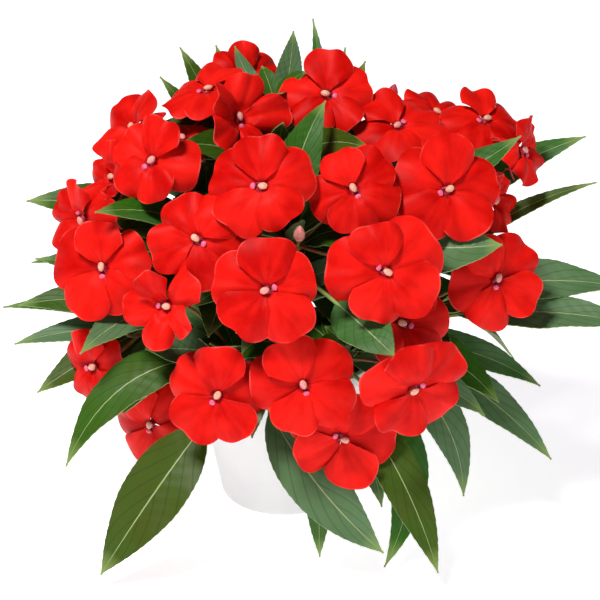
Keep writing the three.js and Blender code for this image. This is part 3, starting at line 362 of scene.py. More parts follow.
# Bloom: middle across, back, up; turn and lift of the face; width; roll; how far petals close
BLOOMS = {f"bloom_{number:02d}": row for number, row in enumerate([
    [-12, -75, 241, -6, 30, 61, 4, 0], [-77, -36, 240, -22, 30, 56, -14, 0],
    [-106, -60, 182, -18, 24, 63, 10, 0], [-49, -80, 210, -12, 28, 59, -30, 0],
    [-9, -112, 193, -4, 24, 63, 0, 0], [59, -100, 199, 6, 24, 66, 16, 0], [96, -50, 228, 12, 28, 65, -8, 0],
    [126, -58, 174, 24, 20, 60, 20, 0], [41, -64, 234, 4, 32, 56, 30, 0], [26, 14, 262, 4, 46, 58, 0, 0],
    [69, 5, 245, 10, 66, 60, 24, 0], [123, 30, 239, 40, 62, 54, -20, 0], [-46, 20, 262, -34, 76, 58, 12, 0],
    [-27, -6, 255, 40, 30, 58, 40, 30], [-92, 34, 232, -56, 40, 56, 0, 10],
    [-101, -10, 218, -60, 34, 44, 30, 24], [-112, -14, 194, -44, 14, 52, 10, 16],
    [-66, -86, 171, -24, 14, 54, 30, 26], [-38, -110, 124, -8, 14, 63, -6, 0],
    [12, -118, 135, 4, 16, 64, 20, 0], [70, -86, 159, 10, 20, 58, -16, 0],
    [73, -118, 139, 16, -8, 60, 8, 0], [35, -106, 94, 8, 0, 62, -24, 0],
    [-114, -58, 116, -36, 6, 50, 14, 0], [-80, -66, 81, -24, -8, 62, 26, 0],
    [142, 14, 226, 62, 14, 44, 0, 10], [127, 0, 199, 60, 14, 42, 10, 20], [-24, 56, 259, 10, 25, 42, 0, 10],
    [-36, 118, 160, 196, 14, 62, -26, 0], [34, 118, 158, 166, 14, 62, 30, 0],
    [94, 40, 239, 60, 62, 50, 36, 0], [-60, 0, 238, -30, 78, 42, -36, 0], [10, 88, 232, 176, 44, 60, 10, 0],
    [78, 84, 208, 140, 36, 60, -18, 0], [-66, 88, 206, 212, 34, 60, 26, 0],
    [116, 62, 160, 120, 18, 60, 4, 0], [-106, 50, 170, 245, 18, 60, -12, 0],
], 1)}

# Bud: tip across, back, up; length; width
BUDS = {
    "bud_01": [68, 34, 262, 17, 9],
    "bud_02": [10, -88, 222, 13, 7],
    "bud_03": [-100, -60, 146, 13, 8],
    "bud_04": [12, -112, 168, 12, 8],
}
print("stems:", len(STEMS), "blooms:", len(BLOOMS), "buds:", len(BUDS))

# %% Curves and directions
STEM_FOOT_Z = 73
STEM_FOOT_RADIUS = 4.0
STEM_TIP_RADIUS = 3.2
STEM_SHIFT = 5


def unit(v):
    return v / np.linalg.norm(v, axis=-1, keepdims=True)


def heading(turn, lift):
    t, e = radians(turn), radians(lift)
    return np.array([sin(t) * cos(e), -cos(t) * cos(e), sin(e)])


def curve_point(curve, s):
    s = np.asarray(s, float)[..., None]
    return (1 - s) ** 2 * curve[0] + 2 * s * (1 - s) * curve[1] + s * s * curve[2]


def curve_heading(curve, s):
    s = np.asarray(s, float)[..., None]
    return unit(-2 * (1 - s) * curve[0] + (2 - 4 * s) * curve[1] + 2 * s * curve[2])


def stem_curve(turn, foot, tip, height):
    out = heading(turn, 0)
    start = out * foot + [0, 0, STEM_FOOT_Z]
    end = out * tip + [STEM_SHIFT, 0, height]
    control = out * (foot + (tip - foot) * 0.2) + [0, 0, STEM_FOOT_Z + (height - STEM_FOOT_Z) * 0.6]
    return [start, control, end]


stem_curves = {name: stem_curve(*values) for name, values in STEMS.items()}


def stem_radius(share):
    return STEM_FOOT_RADIUS + (STEM_TIP_RADIUS - STEM_FOOT_RADIUS) * share


def root_on(stem, share, toward, sunk):
    middle = curve_point(stem_curves[stem], share)
    along = curve_heading(stem_curves[stem], share)
    out = toward - middle
    out = unit(out - along * out.dot(along))
    return middle + out * (stem_radius(share) - sunk)


def seeded(seed):
    state = (seed * 7919 + 17) % 2147483647

    def draw():
        nonlocal state
        state = (state * 48271) % 2147483647
        return state / 2147483647

    return draw


def ease(x):
    c = np.clip(x, 0, 1)
    return c * c * (3 - 2 * c)


print("middle stem's tip (mm):", [round(float(v)) for v in stem_curves["stem_centre"][2]])

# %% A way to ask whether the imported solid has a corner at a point
CORNER_NEAR = 0.06
TIP_NEAR = 0.8


def corner_tree(node):
    mesh = nodes[node].data
    tree = KDTree(len(mesh.vertices))
    for k, vertex in enumerate(mesh.vertices):
        tree.insert(vertex.co, k)
    tree.balance()
    return tree


def has_corner(tree, point, within=CORNER_NEAR):
    return tree.find(Vector(point) * MM)[2] < within * MM


print("corners are matched within", CORNER_NEAR, "mm")

# %% [markdown]
# ## Where each bloom and leaf ended up
# A bloom may have been pushed out along its own face, and its stalk may leave any of the nearest
# stems. A leaf may have been swung, lifted or bowed. For each, the possible moves are few, so they
# are tried in turn until the solid's own corners agree.

# %% Find the push and the stalk of each bloom
PUSHES = [0, 3, 6, 9, 12, -3, 15, 18]
SHARES = [0.98, 0.93, 0.88, 0.83, 0.78]
EYE_TOP = 3.0
PEDICEL_RADIUS = 1.1
PEDICEL_SUNK = 1.8
PEDICEL_TOP = 6
PEDICEL_REACH = 24


def face_axes(turn, lift, roll):
    out = heading(turn, lift)
    across = np.array([cos(radians(turn)), sin(radians(turn)), 0])
    up = np.cross(out, across)
    c, n = cos(radians(roll)), sin(radians(roll))
    return across * c + up * n, up * c - across * n, out


def pedicel_curve(middle, axes, stem, share):
    start = middle - axes[2] * PEDICEL_TOP
    root = root_on(stem, share, start, PEDICEL_SUNK)
    reach = min(PEDICEL_REACH, float(np.linalg.norm(start - root)) * 0.45)
    return [root, start - axes[2] * reach, start]


def pedicel_corner(curve, side):
    along = curve_heading(curve, 0.0)
    first = unit(side - along * side.dot(along))
    second = np.cross(along, first)
    turn = radians(54)
    return curve[0] + first * PEDICEL_RADIUS * cos(turn) + second * PEDICEL_RADIUS * sin(turn)


blooms = {}
for number, (name, row) in enumerate(BLOOMS.items(), 1):
    tree = corner_tree(name)
    axes = face_axes(row[3], row[4], row[6])
    push = next((p for p in PUSHES if has_corner(tree, np.array(row[:3]) + axes[2] * (p + EYE_TOP))), 0)
    middle = np.array(row[:3], float) + axes[2] * push
    curves = [pedicel_curve(middle, axes, stem, share) for stem in STEMS for share in SHARES]
    stalk = next(curve for curve in curves if has_corner(tree, pedicel_corner(curve, axes[0])))
    blooms[name] = {"number": number, "middle": middle, "aim": row[3:5], "axes": axes,
                    "size": row[5], "close": row[7], "stalk": stalk}
print("blooms placed:", len(blooms))

# %% Find the bend of each leaf
PETIOLE_WIDTH = 2.6
PETIOLE_SUNK = 2
PETIOLE_LEAST = 0.11
BLADE_LONGEST = 108
LEAF_THICKNESS = 0.7
LEAF_FOLD = 0.18
FRONT = np.array([0, -0.9, 0.44])
LEAF_BENDS = [[0, 0], [8, 0], [-8, 0], [0, -0.07], [0, 0.05],
              [8, -0.07], [16, 0], [8, 0.05], [0, -0.14], [16, -0.1]]
LEAF_STEP = 5
LEAF_MOST = 6
TIP_HALF = 0.5
BLADE_PEAK = 0.2744
LOWEST_TIP = 2.5
FILL_SEED = 11
FILL_STRAY = 16
FILL_BOW = 10


def blade_half(u, width):
    blade = (width / 2) * u ** 0.8 * (1 - u) ** 1.1 / BLADE_PEAK
    return np.maximum(np.maximum(blade, PETIOLE_WIDTH / 2 * (1 - u)), TIP_HALF)


def leaf_shape(root, tip, width, bow, sway, face, least):
    along = unit(tip - root)
    side = unit(np.array([-along[1], along[0], 0]))
    up = -np.cross(along, side)
    up = -up if up[2] < 0 else up
    control = (root + tip) / 2 + up * bow * 2 + side * sway * 2
    sky = unit(np.array([0, 0, 1]) * (1 - face) + FRONT * face)
    stalk = max(least, 1 - BLADE_LONGEST / float(np.linalg.norm(tip - root)))
    return {"curve": [root, control, tip], "side": unit(np.cross(along, sky)), "stalk": stalk, "width": width}


def blade_axes(leaf, s):
    along = curve_heading(leaf["curve"], s)
    across = unit(leaf["side"] - along * (along @ leaf["side"])[..., None])
    return across, np.cross(across, along)


def blade_corner(leaf, u):
    s = leaf["stalk"] + (1 - leaf["stalk"]) * u
    across, up = blade_axes(leaf, s)
    half = float(blade_half(u, leaf["width"]))
    return curve_point(leaf["curve"], s) + across * half + up * (LEAF_FOLD * half + LEAF_THICKNESS / 2)


def leaf_plan():
    plan = [(stem, np.array(row[:3], float), *row[3:8], row[8] if len(row) > 8 else PETIOLE_LEAST)
            for stem, rows in LEAVES.items() for row in rows]
    draw = seeded(FILL_SEED)
    for stem, rows in FILL.items():
        for share, turns, length, lift, width, face in rows:
            start = curve_point(stem_curves[stem], share)
            for turn in turns:
                aim = STEMS[stem][0] + turn + FILL_STRAY * (draw() - 0.5)
                way = heading(aim, lift + FILL_STRAY * (draw() - 0.5))
                tip = start + way * length * (0.9 + 0.2 * draw())
                width_here = width * (0.9 + 0.2 * draw())
                plan.append((stem, tip, share, width_here, FILL_BOW, 0, face, PETIOLE_LEAST))
    return plan


def find_leaf(tree, stem, tip, share, width, bow, sway, face, least):
    flat = tip - curve_point(stem_curves[stem], share)
    way = unit(np.array([flat[0], flat[1], 0]))
    sideways = np.array([-way[1], way[0], 0])
    steps = range(-LEAF_MOST, LEAF_MOST + 1)
    for swing, lift in sorted(((a, b) for a in steps for b in steps), key=lambda m: m[0] ** 2 + m[1] ** 2):
        moved = tip + sideways * swing * LEAF_STEP
        moved[2] = max(LOWEST_TIP, moved[2] + lift * LEAF_STEP)
        if not has_corner(tree, moved, TIP_NEAR):
            continue
        for bend, slide in LEAF_BENDS:
            root = root_on(stem, share + slide, moved, PETIOLE_SUNK)
            leaf = leaf_shape(root, moved, width, bow + bend, sway, face, least)
            if has_corner(tree, blade_corner(leaf, 0.3)) and has_corner(tree, blade_corner(leaf, 0.68)):
                return leaf
    return None


leaves = {name: [] for name in STEMS}
stem_trees = {name: corner_tree(name) for name in STEMS}
for stem, *row in leaf_plan():
    leaf = find_leaf(stem_trees[stem], stem, *row)
    if leaf is not None:
        leaves[stem].append(leaf)
print("leaves found:", sum(len(v) for v in leaves.values()), "of", len(leaf_plan()))

# %% [markdown]
# ## A blank, bent by a formula
# A petal or a leaf blade is a thin sheet. A modeller could drag one into shape and place copies by
# hand, but here every copy bends its own way, so a flat grid is made once as a blank, copied, and
# each copy's points are set by a formula. Copies of one bloom or stem are joined, and the Solidify
# modifier then gives the sheet its real thickness, with an underside and a cut edge of their own.

# %% Helpers for blanks, copies and thickness
def deselect():
    for item in bpy.context.selected_objects:
        item.select_set(False)


def pick(*pieces):
    deselect()
    for piece in pieces:
        piece.select_set(True)
    bpy.context.view_layer.objects.active = pieces[0]


def grid_blank(name, across, along):
    deselect()
    bpy.ops.mesh.primitive_grid_add(x_subdivisions=across, y_subdivisions=along, size=1, calc_uvs=True)
    blank = bpy.context.object
    blank.name = name
    return blank


def blank_points(blank):
    flat = np.empty(3 * len(blank.data.vertices))
    blank.data.vertices.foreach_get("co", flat)
    return flat.reshape(-1, 3)


def shaped_copy(blank, points):
    mesh = blank.data.copy()
    mesh.vertices.foreach_set("co", (np.asarray(points) * MM).ravel())
    mesh.update()
    return new_object(blank.name + "_copy", mesh)


def give_tone(piece, tone):
    marks = piece.data.attributes.new("tone", "FLOAT", "FACE")
    marks.data.foreach_set("value", np.full(len(piece.data.polygons), tone))
    return piece


def joined(name, pieces):
    pick(*pieces)
    if len(pieces) > 1:
        bpy.ops.object.join()
    pieces[0].name = name
    pieces[0].data.name = name
    return pieces[0]


def apply_modifier(piece, modifier):
    pick(piece)
    bpy.ops.object.modifier_apply(modifier=modifier.name)


def thickened(piece, thickness):
    sheet = piece.modifiers.new("thickness", "SOLIDIFY")
    sheet.thickness = thickness * MM
    sheet.offset = 0
    sheet.material_offset = 1
    sheet.material_offset_rim = 2
    apply_modifier(piece, sheet)


def smooth(piece, degrees):
    pick(piece)
    bpy.ops.object.shade_smooth_by_angle(angle=radians(degrees))


def dress(piece, slot, *replaced):
    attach(piece, "root")
    if replaced:
        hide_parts(*replaced)


print("quick look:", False)

# %% [markdown]
# ## The petals
# Each bloom has five broad petals: a small standard at the top, two wings and two lower ones that
# overlap like shingles. Each is a fan round the eye with a notched, gently ruffled rim. The five
# differ a little from bloom to bloom, by the same seeded numbers as the solid.

# %% Five petals a bloom
# Petal: turn, layer, half its spread, length
PETALS = [(90, 2, 44, 0.95), (18, 0, 46, 1), (-54, 1, 43, 0.98), (-126, 2, 43, 0.98), (162, 0, 46, 1)]
PETAL_THICKNESS = 0.6
PETAL_LAYER = 1.5
BASE_LAYER = 0.75
BASE_HALF = 38
HUB_FLAT = 3.6
UNDER_CUP = 0.07
DOME = 4.4
TWIST = 3.6
NOTCH_SHARE = 0.55
CREASE = 0.9
HALF_GAIN = 3.5
LOBE_DROP = 0.33
LOBE_ROUND = 3.0
SPREAD = 2.3
STRAY = 5.5
TURN_STRAY = 11
LENGTH_STRAY = 0.09
RUFFLE = 2.1
STRAY_SEED = 300
PETAL_ACROSS, PETAL_ALONG = ((24, 18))


def petal_forms(number):
    draw = seeded(number)
    stray = seeded(number + STRAY_SEED)
    mirror = -1 if draw() < 0.5 else 1
    curl = 0.02 + 0.08 * draw()
    return [{
        "turn": 90 + mirror * (turn - 90) + TURN_STRAY * (stray() - 0.5), "layer": layer,
        "half": half + 6 * (draw() - 0.5) + HALF_GAIN,
        "length": length * (0.92 + 0.14 * draw()) * (1 + LENGTH_STRAY * (stray() - 0.5)),
        "notch": 0.02 + 0.12 * draw(), "wave": 0.3 + 0.5 * draw(), "phase": 2 * pi * draw(),
        "skew": 6 * (draw() - 0.5), "curl": curl,
        "reach_out": SPREAD * (layer - 1.2) + STRAY * (stray() - 0.5),
        "dome": DOME * (0.3 + stray()),
        "tone": stray(),
    } for turn, layer, half, length in PETALS]


def petal_points(form, size, close, s, t):
    reach = size / 2 * form["length"]
    half = BASE_HALF + (form["half"] - 0.3 * close - BASE_HALF) * ease(s / 0.4)
    angle = np.radians(half * t + form["skew"] * s)
    rim = 1.03 - LOBE_DROP * np.abs(t) ** LOBE_ROUND - NOTCH_SHARE * form["notch"] * np.exp(-(t / 0.24) ** 2)
    rim = rim + 0.022 * np.sin(4.3 * t + 3 * form["phase"]) + 0.006 * np.sin(11 * t + form["phase"])
    radius = HUB_FLAT + (reach * rim - HUB_FLAT) * s
    level = 7 * s * (1 - s) - form["curl"] * reach * s * s - PETAL_THICKNESS / 2
    level += form["wave"] * np.sin(form["phase"] + 3 * t) * (1 - 0.8 * t * t) * s * s
    level -= CREASE * np.exp(-(t / 0.16) ** 2) * s
    level -= form["dome"] * t * t * s * np.abs(s)
    level += form["reach_out"] * np.abs(s) ** 2.5
    level += TWIST * sin(5 * form["phase"]) * t * s * s
    level += RUFFLE * np.sin(5.5 * t + 2 * form["phase"]) * s ** 4
    base = form["layer"] * (BASE_LAYER + (PETAL_LAYER - BASE_LAYER) * ease(s / 0.35))
    flat = radius * np.cos(angle) - HUB_FLAT
    lean = np.radians(close * ease(s / 0.3))
    along = HUB_FLAT + flat * np.cos(lean) - level * np.sin(lean)
    out = base + flat * np.sin(lean) + level * np.cos(lean)
    across = radius * np.sin(angle) * (1 - 0.3 * np.sin(lean) * s)
    c, n = cos(radians(form["turn"])), sin(radians(form["turn"]))
    return np.stack([along * c - across * n, along * n + across * c, out], axis=1)


def in_plant(bloom, points, axes=None):
    across, up, out = axes or bloom["axes"]
    return bloom["middle"] + points[:, :1] * across + points[:, 1:2] * up + points[:, 2:] * out


petal_blank = grid_blank("petal_blank", PETAL_ACROSS, PETAL_ALONG)
for material in (petal_face, petal_back, petal_edge):
    petal_blank.data.materials.append(material)
flat = blank_points(petal_blank)
petal_along = (1 + UNDER_CUP) * (flat[:, 1] + 0.5) - UNDER_CUP
for name, bloom in blooms.items():
    sheets = []
    for form in petal_forms(bloom["number"]):
        shape = petal_points(form, bloom["size"], bloom["close"], petal_along, -2 * flat[:, 0])
        sheets.append(give_tone(shaped_copy(petal_blank, in_plant(bloom, shape)), form["tone"]))
    bloom["petals"] = joined(name + "_petals", sheets)
    thickened(bloom["petals"], PETAL_THICKNESS)
    smooth(bloom["petals"], 50)
bpy.data.objects.remove(petal_blank)
print("petals:", 5 * len(blooms), "faces in the first bloom:", len(blooms["bloom_01"]["petals"].data.polygons))

# %% [markdown]
# ## The eye, the cup and the spur
# Behind the petals sits a fleshy cup that narrows to the flower stalk. Its mouth is a dip in the middle of
# the bloom, coloured dark crimson as painted shade in the hole. On one side of it the joined anthers stand
# as one cream or pink bean, and on the other the lip of the petals is flushed hot pink, all three in one line.
# A ball is the nearest simple blank for these: stretched for the cup, with its top pushed in for the
# mouth, squeezed to a bean for the column, and flattened for the lip. The spur is a tapering tube.

# %% Balls and tubes
BALL_SIDES, BALL_RINGS = ((24, 14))
TUBE_STEPS = 14


def tubes(name, paths, material, sides=8):
    curve = bpy.data.curves.new(name, "CURVE")
    curve.dimensions = "3D"
    curve.bevel_depth = MM
    curve.bevel_resolution = (sides - 4) // 2
    curve.use_fill_caps = True
    for points, radii in paths:
        spline = curve.splines.new("POLY")
        spline.points.add(len(points) - 1)
        spline.points.foreach_set("co", np.c_[points * MM, np.ones(len(points))].ravel())
        spline.points.foreach_set("radius", radii)
    piece = new_object(name, curve)
    pick(piece)
    bpy.ops.object.convert(target="MESH")
    bpy.ops.object.mode_set(mode="EDIT")
    bpy.ops.mesh.select_all(action="SELECT")
    bpy.ops.mesh.remove_doubles(threshold=0.001 * MM)
    bpy.ops.mesh.normals_make_consistent(inside=False)
    bpy.ops.object.mode_set(mode="OBJECT")
    piece.data.materials.clear()
    piece.data.materials.append(material)
    return piece


def path_along(curve, first_radius, last_radius):
    share = np.linspace(0, 1, TUBE_STEPS)
    return curve_point(curve, share), first_radius + (last_radius - first_radius) * share


print("ball:", BALL_SIDES, "by", BALL_RINGS, "tube steps:", TUBE_STEPS)

# %% Cups, columns, spurs and flower stalks
CUP_HALF = (2.7, 3.9)
CUP_SHIFT = -0.9
CUP_TOP = 2.3
CUP_DEPTH = 6.6
MOUTH_AT = -2.7
MOUTH_RADIUS = 1.4
MOUTH_DEPTH = 2.4
COLUMN_HALF = (1.95, 2.8, 1.5)
COLUMN_AT = (0.9, 3.0)
SPOT_HALF = (1.9, 1.6, 0.9)
SPOT_AT = (0, -4.9, 1.7)
SPUR_RADII = (1.1, 0.5)
EYE_SEED = 500
EYE_ROLL = 280

deselect()
bpy.ops.mesh.primitive_uv_sphere_add(segments=BALL_SIDES, ring_count=BALL_RINGS, radius=1)
ball = bpy.context.object
ball.name = "ball_blank"
unit_ball = blank_points(ball)
# the mouth's dark crimson is painted shade inside the hole
mouth_painted_shade = mottled("flower_mouth_painted_shade", "#6c0414", "#880820", 1.2, 0.6, 0.05, subsurface=0)
lip_skin = mottled("flower_lip_magenta", "#e4487c", "#ee7a9c", 1.0, 0.5, 0.05)
column_pink = mottled("column_rose_pink", "#e88c8c", "#e8ac94", 1.5, 0.5, 0.05, subsurface=0.2)


def cup_points(points):
    x, z = points[:, 0] * CUP_HALF[0], points[:, 2]
    y = points[:, 1] * CUP_HALF[1] + CUP_SHIFT * np.clip(1 + z, 0, 1)
    level = np.where(z > 0, z * CUP_TOP, z * CUP_DEPTH)
    squeeze = np.where(z > 0, 1.0, 1.0 - 0.35 * np.sin(np.pi * np.clip(-z, 0, 1)))
    gap = np.hypot(x, y - MOUTH_AT) / MOUTH_RADIUS
    level = np.where(z > 0, level - MOUTH_DEPTH * np.exp(-gap ** 2), level)
    return np.stack([x * squeeze, y * squeeze, level], axis=1)


def column_points(points):
    x, y, z = (points * COLUMN_HALF).T
    return np.stack([x * (1 + 0.05 * y), y + COLUMN_AT[0], z + COLUMN_AT[1]], axis=1)


def spot_points(points):
    return points * SPOT_HALF + SPOT_AT


cups, columns, pink_columns, spots, spur_paths, stalk_paths = [], [], [], [], [], []
for name, bloom in blooms.items():
    turned = EYE_ROLL * (seeded(bloom["number"] + EYE_SEED)() - 0.5)
    eye = face_axes(*bloom["aim"], turned)
    cup = shaped_copy(ball, in_plant(bloom, cup_points(unit_ball), eye))
    cup.data.materials.append(throat_skin)
    cup.data.materials.append(mouth_painted_shade)
    # faces round the mouth's dip take the painted shade of the hole
    for face in cup.data.polygons:
        x, y, z = unit_ball[list(face.vertices)].mean(axis=0) * [*CUP_HALF, 1]
        face.material_index = int(z > 0 and hypot(x, y + CUP_SHIFT - MOUTH_AT) < 1.1 * MOUTH_RADIUS)
    cups.append(cup)
    bean = shaped_copy(ball, in_plant(bloom, column_points(unit_ball), eye))
    (pink_columns if bloom["number"] % 3 == 2 else columns).append(bean)
    spots.append(shaped_copy(ball, in_plant(bloom, spot_points(unit_ball), eye)))
    size = bloom["size"]
    spur = [in_plant(bloom, np.array([p]), face_axes(*bloom["aim"], 0))[0]
            for p in ([0, -0.8, -1.5], [0, -0.07 * size, -0.3 * size], [0, -0.42 * size, -0.2 * size])]
    spur_paths.append(path_along(spur, *SPUR_RADII))
    stalk_paths.append(path_along(bloom["stalk"], PEDICEL_RADIUS, PEDICEL_RADIUS + 0.15))
for pieces, skin in ((columns, column_skin), (pink_columns, column_pink), (spots, lip_skin)):
    for piece in pieces:
        piece.data.materials.append(skin)
bloom_cups = joined("bloom_cups", cups + spots)
bloom_columns = joined("bloom_columns", columns + pink_columns)
bloom_spurs = tubes("bloom_spurs", spur_paths, spur_skin)
bloom_stalks = tubes("bloom_stalks", stalk_paths, stalk_skin)
for name, bloom in blooms.items():
    dress(bloom["petals"], "petal", name)
for piece, slot in ((bloom_cups, "petal"), (bloom_columns, "column"),
                    (bloom_spurs, "petal"), (bloom_stalks, "stem")):
    smooth(piece, 60)
    dress(piece, slot)
print("cups:", len(cups), "cream columns:", len(columns), "pink columns:", len(pink_columns))

# %% [markdown]
# ## The buds
# Four unopened flowers stand among the blooms: pointed ovals with the petals wrapped round each
# other, so the ball blank is drawn out to a teardrop and its skin twisted into five soft folds.

# %% Four buds on their stalks
BUD_FOLDS = 5
BUD_TWIST = 1.6
BUD_STALK_RADIUS = 0.9
BUD_PEAK = 0.4206
bud_skin = mottled("bud_rose_red", "#d8202c", "#b03040", 5, 0.45, 0.08, sheen=0.1)
bud_pale = mottled("bud_pale_pink_cream", "#f0c4ac", "#e07470", 5, 0.45, 0.08, sheen=0.1)


def bud_points(points, base, axes, length, width):
    share = (points[:, 2] + 1) / 2
    turn = np.arctan2(points[:, 1], points[:, 0]) + BUD_TWIST * share
    girth = np.clip(share, 0, 1) ** 0.5 * np.clip(1 - share, 0, 1) ** 0.8 / BUD_PEAK
    fold = 1 - 0.09 * np.abs(np.sin(BUD_FOLDS / 2 * (turn - BUD_TWIST * share * 2)))
    radius = width / 2 * girth * fold
    side, other, along = axes
    return (base + share[:, None] * length * along + (radius * np.cos(turn))[:, None] * side
            + (radius * np.sin(turn))[:, None] * other)


bud_stalk_paths = []
for name, (x, y, z, length, width) in BUDS.items():
    tree = corner_tree(name)
    options = []
    for push in PUSHES:
        tip = np.array([x, y, z + push], float)
        for stem, curve in stem_curves.items():
            along = unit(unit(tip - curve_point(curve, 1.0)) * 0.5 + np.array([0, 0, 0.5]))
            base = tip - along * length
            side = unit(np.array([along[2], 0, -along[0]]))
            corner = tip + side * width / 2 * 0.25
            gap = tree.find(Vector(corner) * MM)[2]
            start = base + along * 1.5
            for share in SHARES:
                root = root_on(stem, share, start, PEDICEL_SUNK)
                foot = tree.find(Vector(root) * MM)[2]
                options.append((gap + foot, len(options), base, along, side, root, start))
    gap, _, base, along, side, root, start = min(options)
    bean = shaped_copy(ball, bud_points(unit_ball, base, (side, np.cross(along, side), along), length, width))
    bean.data.materials.append(bud_pale if name == "bud_02" else bud_skin)
    bean.name = name + "_petals"
    smooth(bean, 60)
    dress(bean, "bud", name)
    control = start - along * 0.5 * np.linalg.norm(start - root)
    bud_stalk_paths.append(path_along([root, control, start], BUD_STALK_RADIUS, BUD_STALK_RADIUS))
    print(name, "match within", round(gap / MM, 2), "mm")
bud_stalks = tubes("bud_stalks", bud_stalk_paths, stalk_skin)
smooth(bud_stalks, 60)
dress(bud_stalks, "stem")
bpy.data.objects.remove(ball)

# %% [markdown]
# ## The leaves
# A leaf is a long blade, folded a little along a pale midrib, quilted between its side veins and
# finely toothed along the margin. It is the same blank-and-formula work as a petal. The midrib goes
# on as the leaf's own stalk down to the stem, so both are one tapering tube under the blade.
# Small young leaves stand round each shoot in whorls, at its tip and at two joints below. They close
# the middle of the plant, and the solids leave them out.

# %% Blades
BLADE_ACROSS, BLADE_ALONG = ((12, 60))
TOOTH_ROWS = 3
TOOTH_DEPTH = 0.45
QUILT_DEPTH = 0.5
LEAF_TONE_SEED = 3374
YOUNG_PLACES = (0.985, 0.74, 0.52)
YOUNG_COUNT = 6
YOUNG_LENGTH = 26
YOUNG_WIDTH = 12
YOUNG_GRID = (4, 18)
YOUNG_TONE = 0.3
YOUNG_SEED = 60
BLADE_SEED = 900
EDGE_WAVE = 0.9

leaf_rim = mottled("leaf_cut_margin", "#8aa460", "#6c8c48", 4, 0.5, 0.05, subsurface=0)


def blade_points(leaf, number, u, v):
    draw = seeded(number + BLADE_SEED)
    waves, phase = 2.2 + 1.6 * draw(), 2 * pi * draw()
    s = leaf["stalk"] + (1 - leaf["stalk"]) * u
    across, up = blade_axes(leaf, s)
    row = np.round(u * BLADE_ALONG)
    tooth = TOOTH_DEPTH * ((row % TOOTH_ROWS) / TOOTH_ROWS) * ease(u / 0.12) * ease((1 - u) / 0.1)
    half = blade_half(u, leaf["width"])
    count = VEIN_PAIRS * u - VEIN_SWEEP * np.abs(v)
    quilt = QUILT_DEPTH * (np.abs(np.sin(np.pi * count)) - 0.6) * (1 - np.abs(v) ** 3) * ease(half / 12)
    wave = EDGE_WAVE * np.sin(2 * pi * waves * u + phase + v) * v * v * ease(half / 14)
    level = LEAF_FOLD * half * np.abs(v) ** 1.15 + quilt + wave
    return (curve_point(leaf["curve"], s) + across * (half * v + np.sign(v) * tooth * np.abs(v) ** 6)[:, None]
            + up * level[:, None])


def young_leaves(stem, number):
    draw = seeded(number + YOUNG_SEED)
    for share in YOUNG_PLACES:
        foot = curve_point(stem_curves[stem], share)
        for k in range(YOUNG_COUNT):
            way = heading(360 / YOUNG_COUNT * (k + 0.6 * draw()), 20 + 35 * draw())
            tip = foot + way * YOUNG_LENGTH * (0.75 + 0.5 * draw())
            yield leaf_shape(foot, tip, YOUNG_WIDTH, 3 * draw(), 0, 0.3, PETIOLE_LEAST)


blade_blank = grid_blank("blade_blank", BLADE_ACROSS, BLADE_ALONG)
young_blank = grid_blank("young_blank", *YOUNG_GRID)
for blank in (blade_blank, young_blank):
    for material in (leaf_face, leaf_back, leaf_rim):
        blank.data.materials.append(material)
flat, young_flat = blank_points(blade_blank), blank_points(young_blank)
leaf_count = 0
for stem, stem_leaves in leaves.items():
    blades = []
    for leaf in stem_leaves:
        leaf_count += 1
        blade = shaped_copy(blade_blank, blade_points(leaf, leaf_count, flat[:, 1] + 0.5, 2 * flat[:, 0]))
        blades.append(give_tone(blade, seeded(leaf_count + LEAF_TONE_SEED)()))
    for k, leaf in enumerate(young_leaves(stem, leaf_count)):
        young = blade_points(leaf, leaf_count + 40 * k, young_flat[:, 1] + 0.5, 2 * young_flat[:, 0])
        blades.append(give_tone(shaped_copy(young_blank, young), YOUNG_TONE))
    blade_piece = joined(stem + "_blades", blades)
    thickened(blade_piece, LEAF_THICKNESS)
    smooth(blade_piece, 50)
    dress(blade_piece, "leaf", stem)
bpy.data.objects.remove(blade_blank)
bpy.data.objects.remove(young_blank)
print("leaf blades:", leaf_count)

# %% Stems, leaf stalks and midribs
STALK_RADIUS = 1.25
MIDRIB_START = 1.0
MIDRIB_END = 0.35
MIDRIB_DROP = 0.75
JOINT_SWELL = 0.35


def leaf_stalk_path(leaf):
    share = np.r_[np.linspace(0, leaf["stalk"], 5), np.linspace(leaf["stalk"], 0.97, 12)[1:]]
    on_blade = np.clip((share - leaf["stalk"]) / (1 - leaf["stalk"]), 0, 1)
    across, up = blade_axes(leaf, share)
    radius = np.where(on_blade > 0, MIDRIB_START + (MIDRIB_END - MIDRIB_START) * on_blade ** 0.6, STALK_RADIUS)
    drop = radius * MIDRIB_DROP * ease(on_blade / 0.1)
    return curve_point(leaf["curve"], share) - up * drop[:, None], radius


for stem, curve in stem_curves.items():
    share = np.linspace(0, 1, 40)
    swell = 1 + JOINT_SWELL * 0.3 * np.cos(2 * pi * 5 * share) ** 8
    paths = [(curve_point(curve, share), stem_radius(share) * swell)]
    trunk = tubes(stem + "_trunk", paths, stem_skin, sides=12)
    ribs = tubes(stem + "_ribs", [leaf_stalk_path(leaf) for leaf in leaves[stem]], petiole_skin)
    stalks = joined(stem + "_stalks", [trunk, ribs])
    smooth(stalks, 60)
    dress(stalks, "stem", stem)
print("stems with their leaf stalks:", len(stem_curves))

# %% [markdown]
# ## The pot and its soil
# The pot is a plain moulded one, round and tapering, with a turned-over band at the rim. It is drawn
# the way it would be turned: a circle, pushed up ring by ring along the wall's outline, over the rim
# and down the inside. The soil starts the same way, and its top is then broken into crumbs.

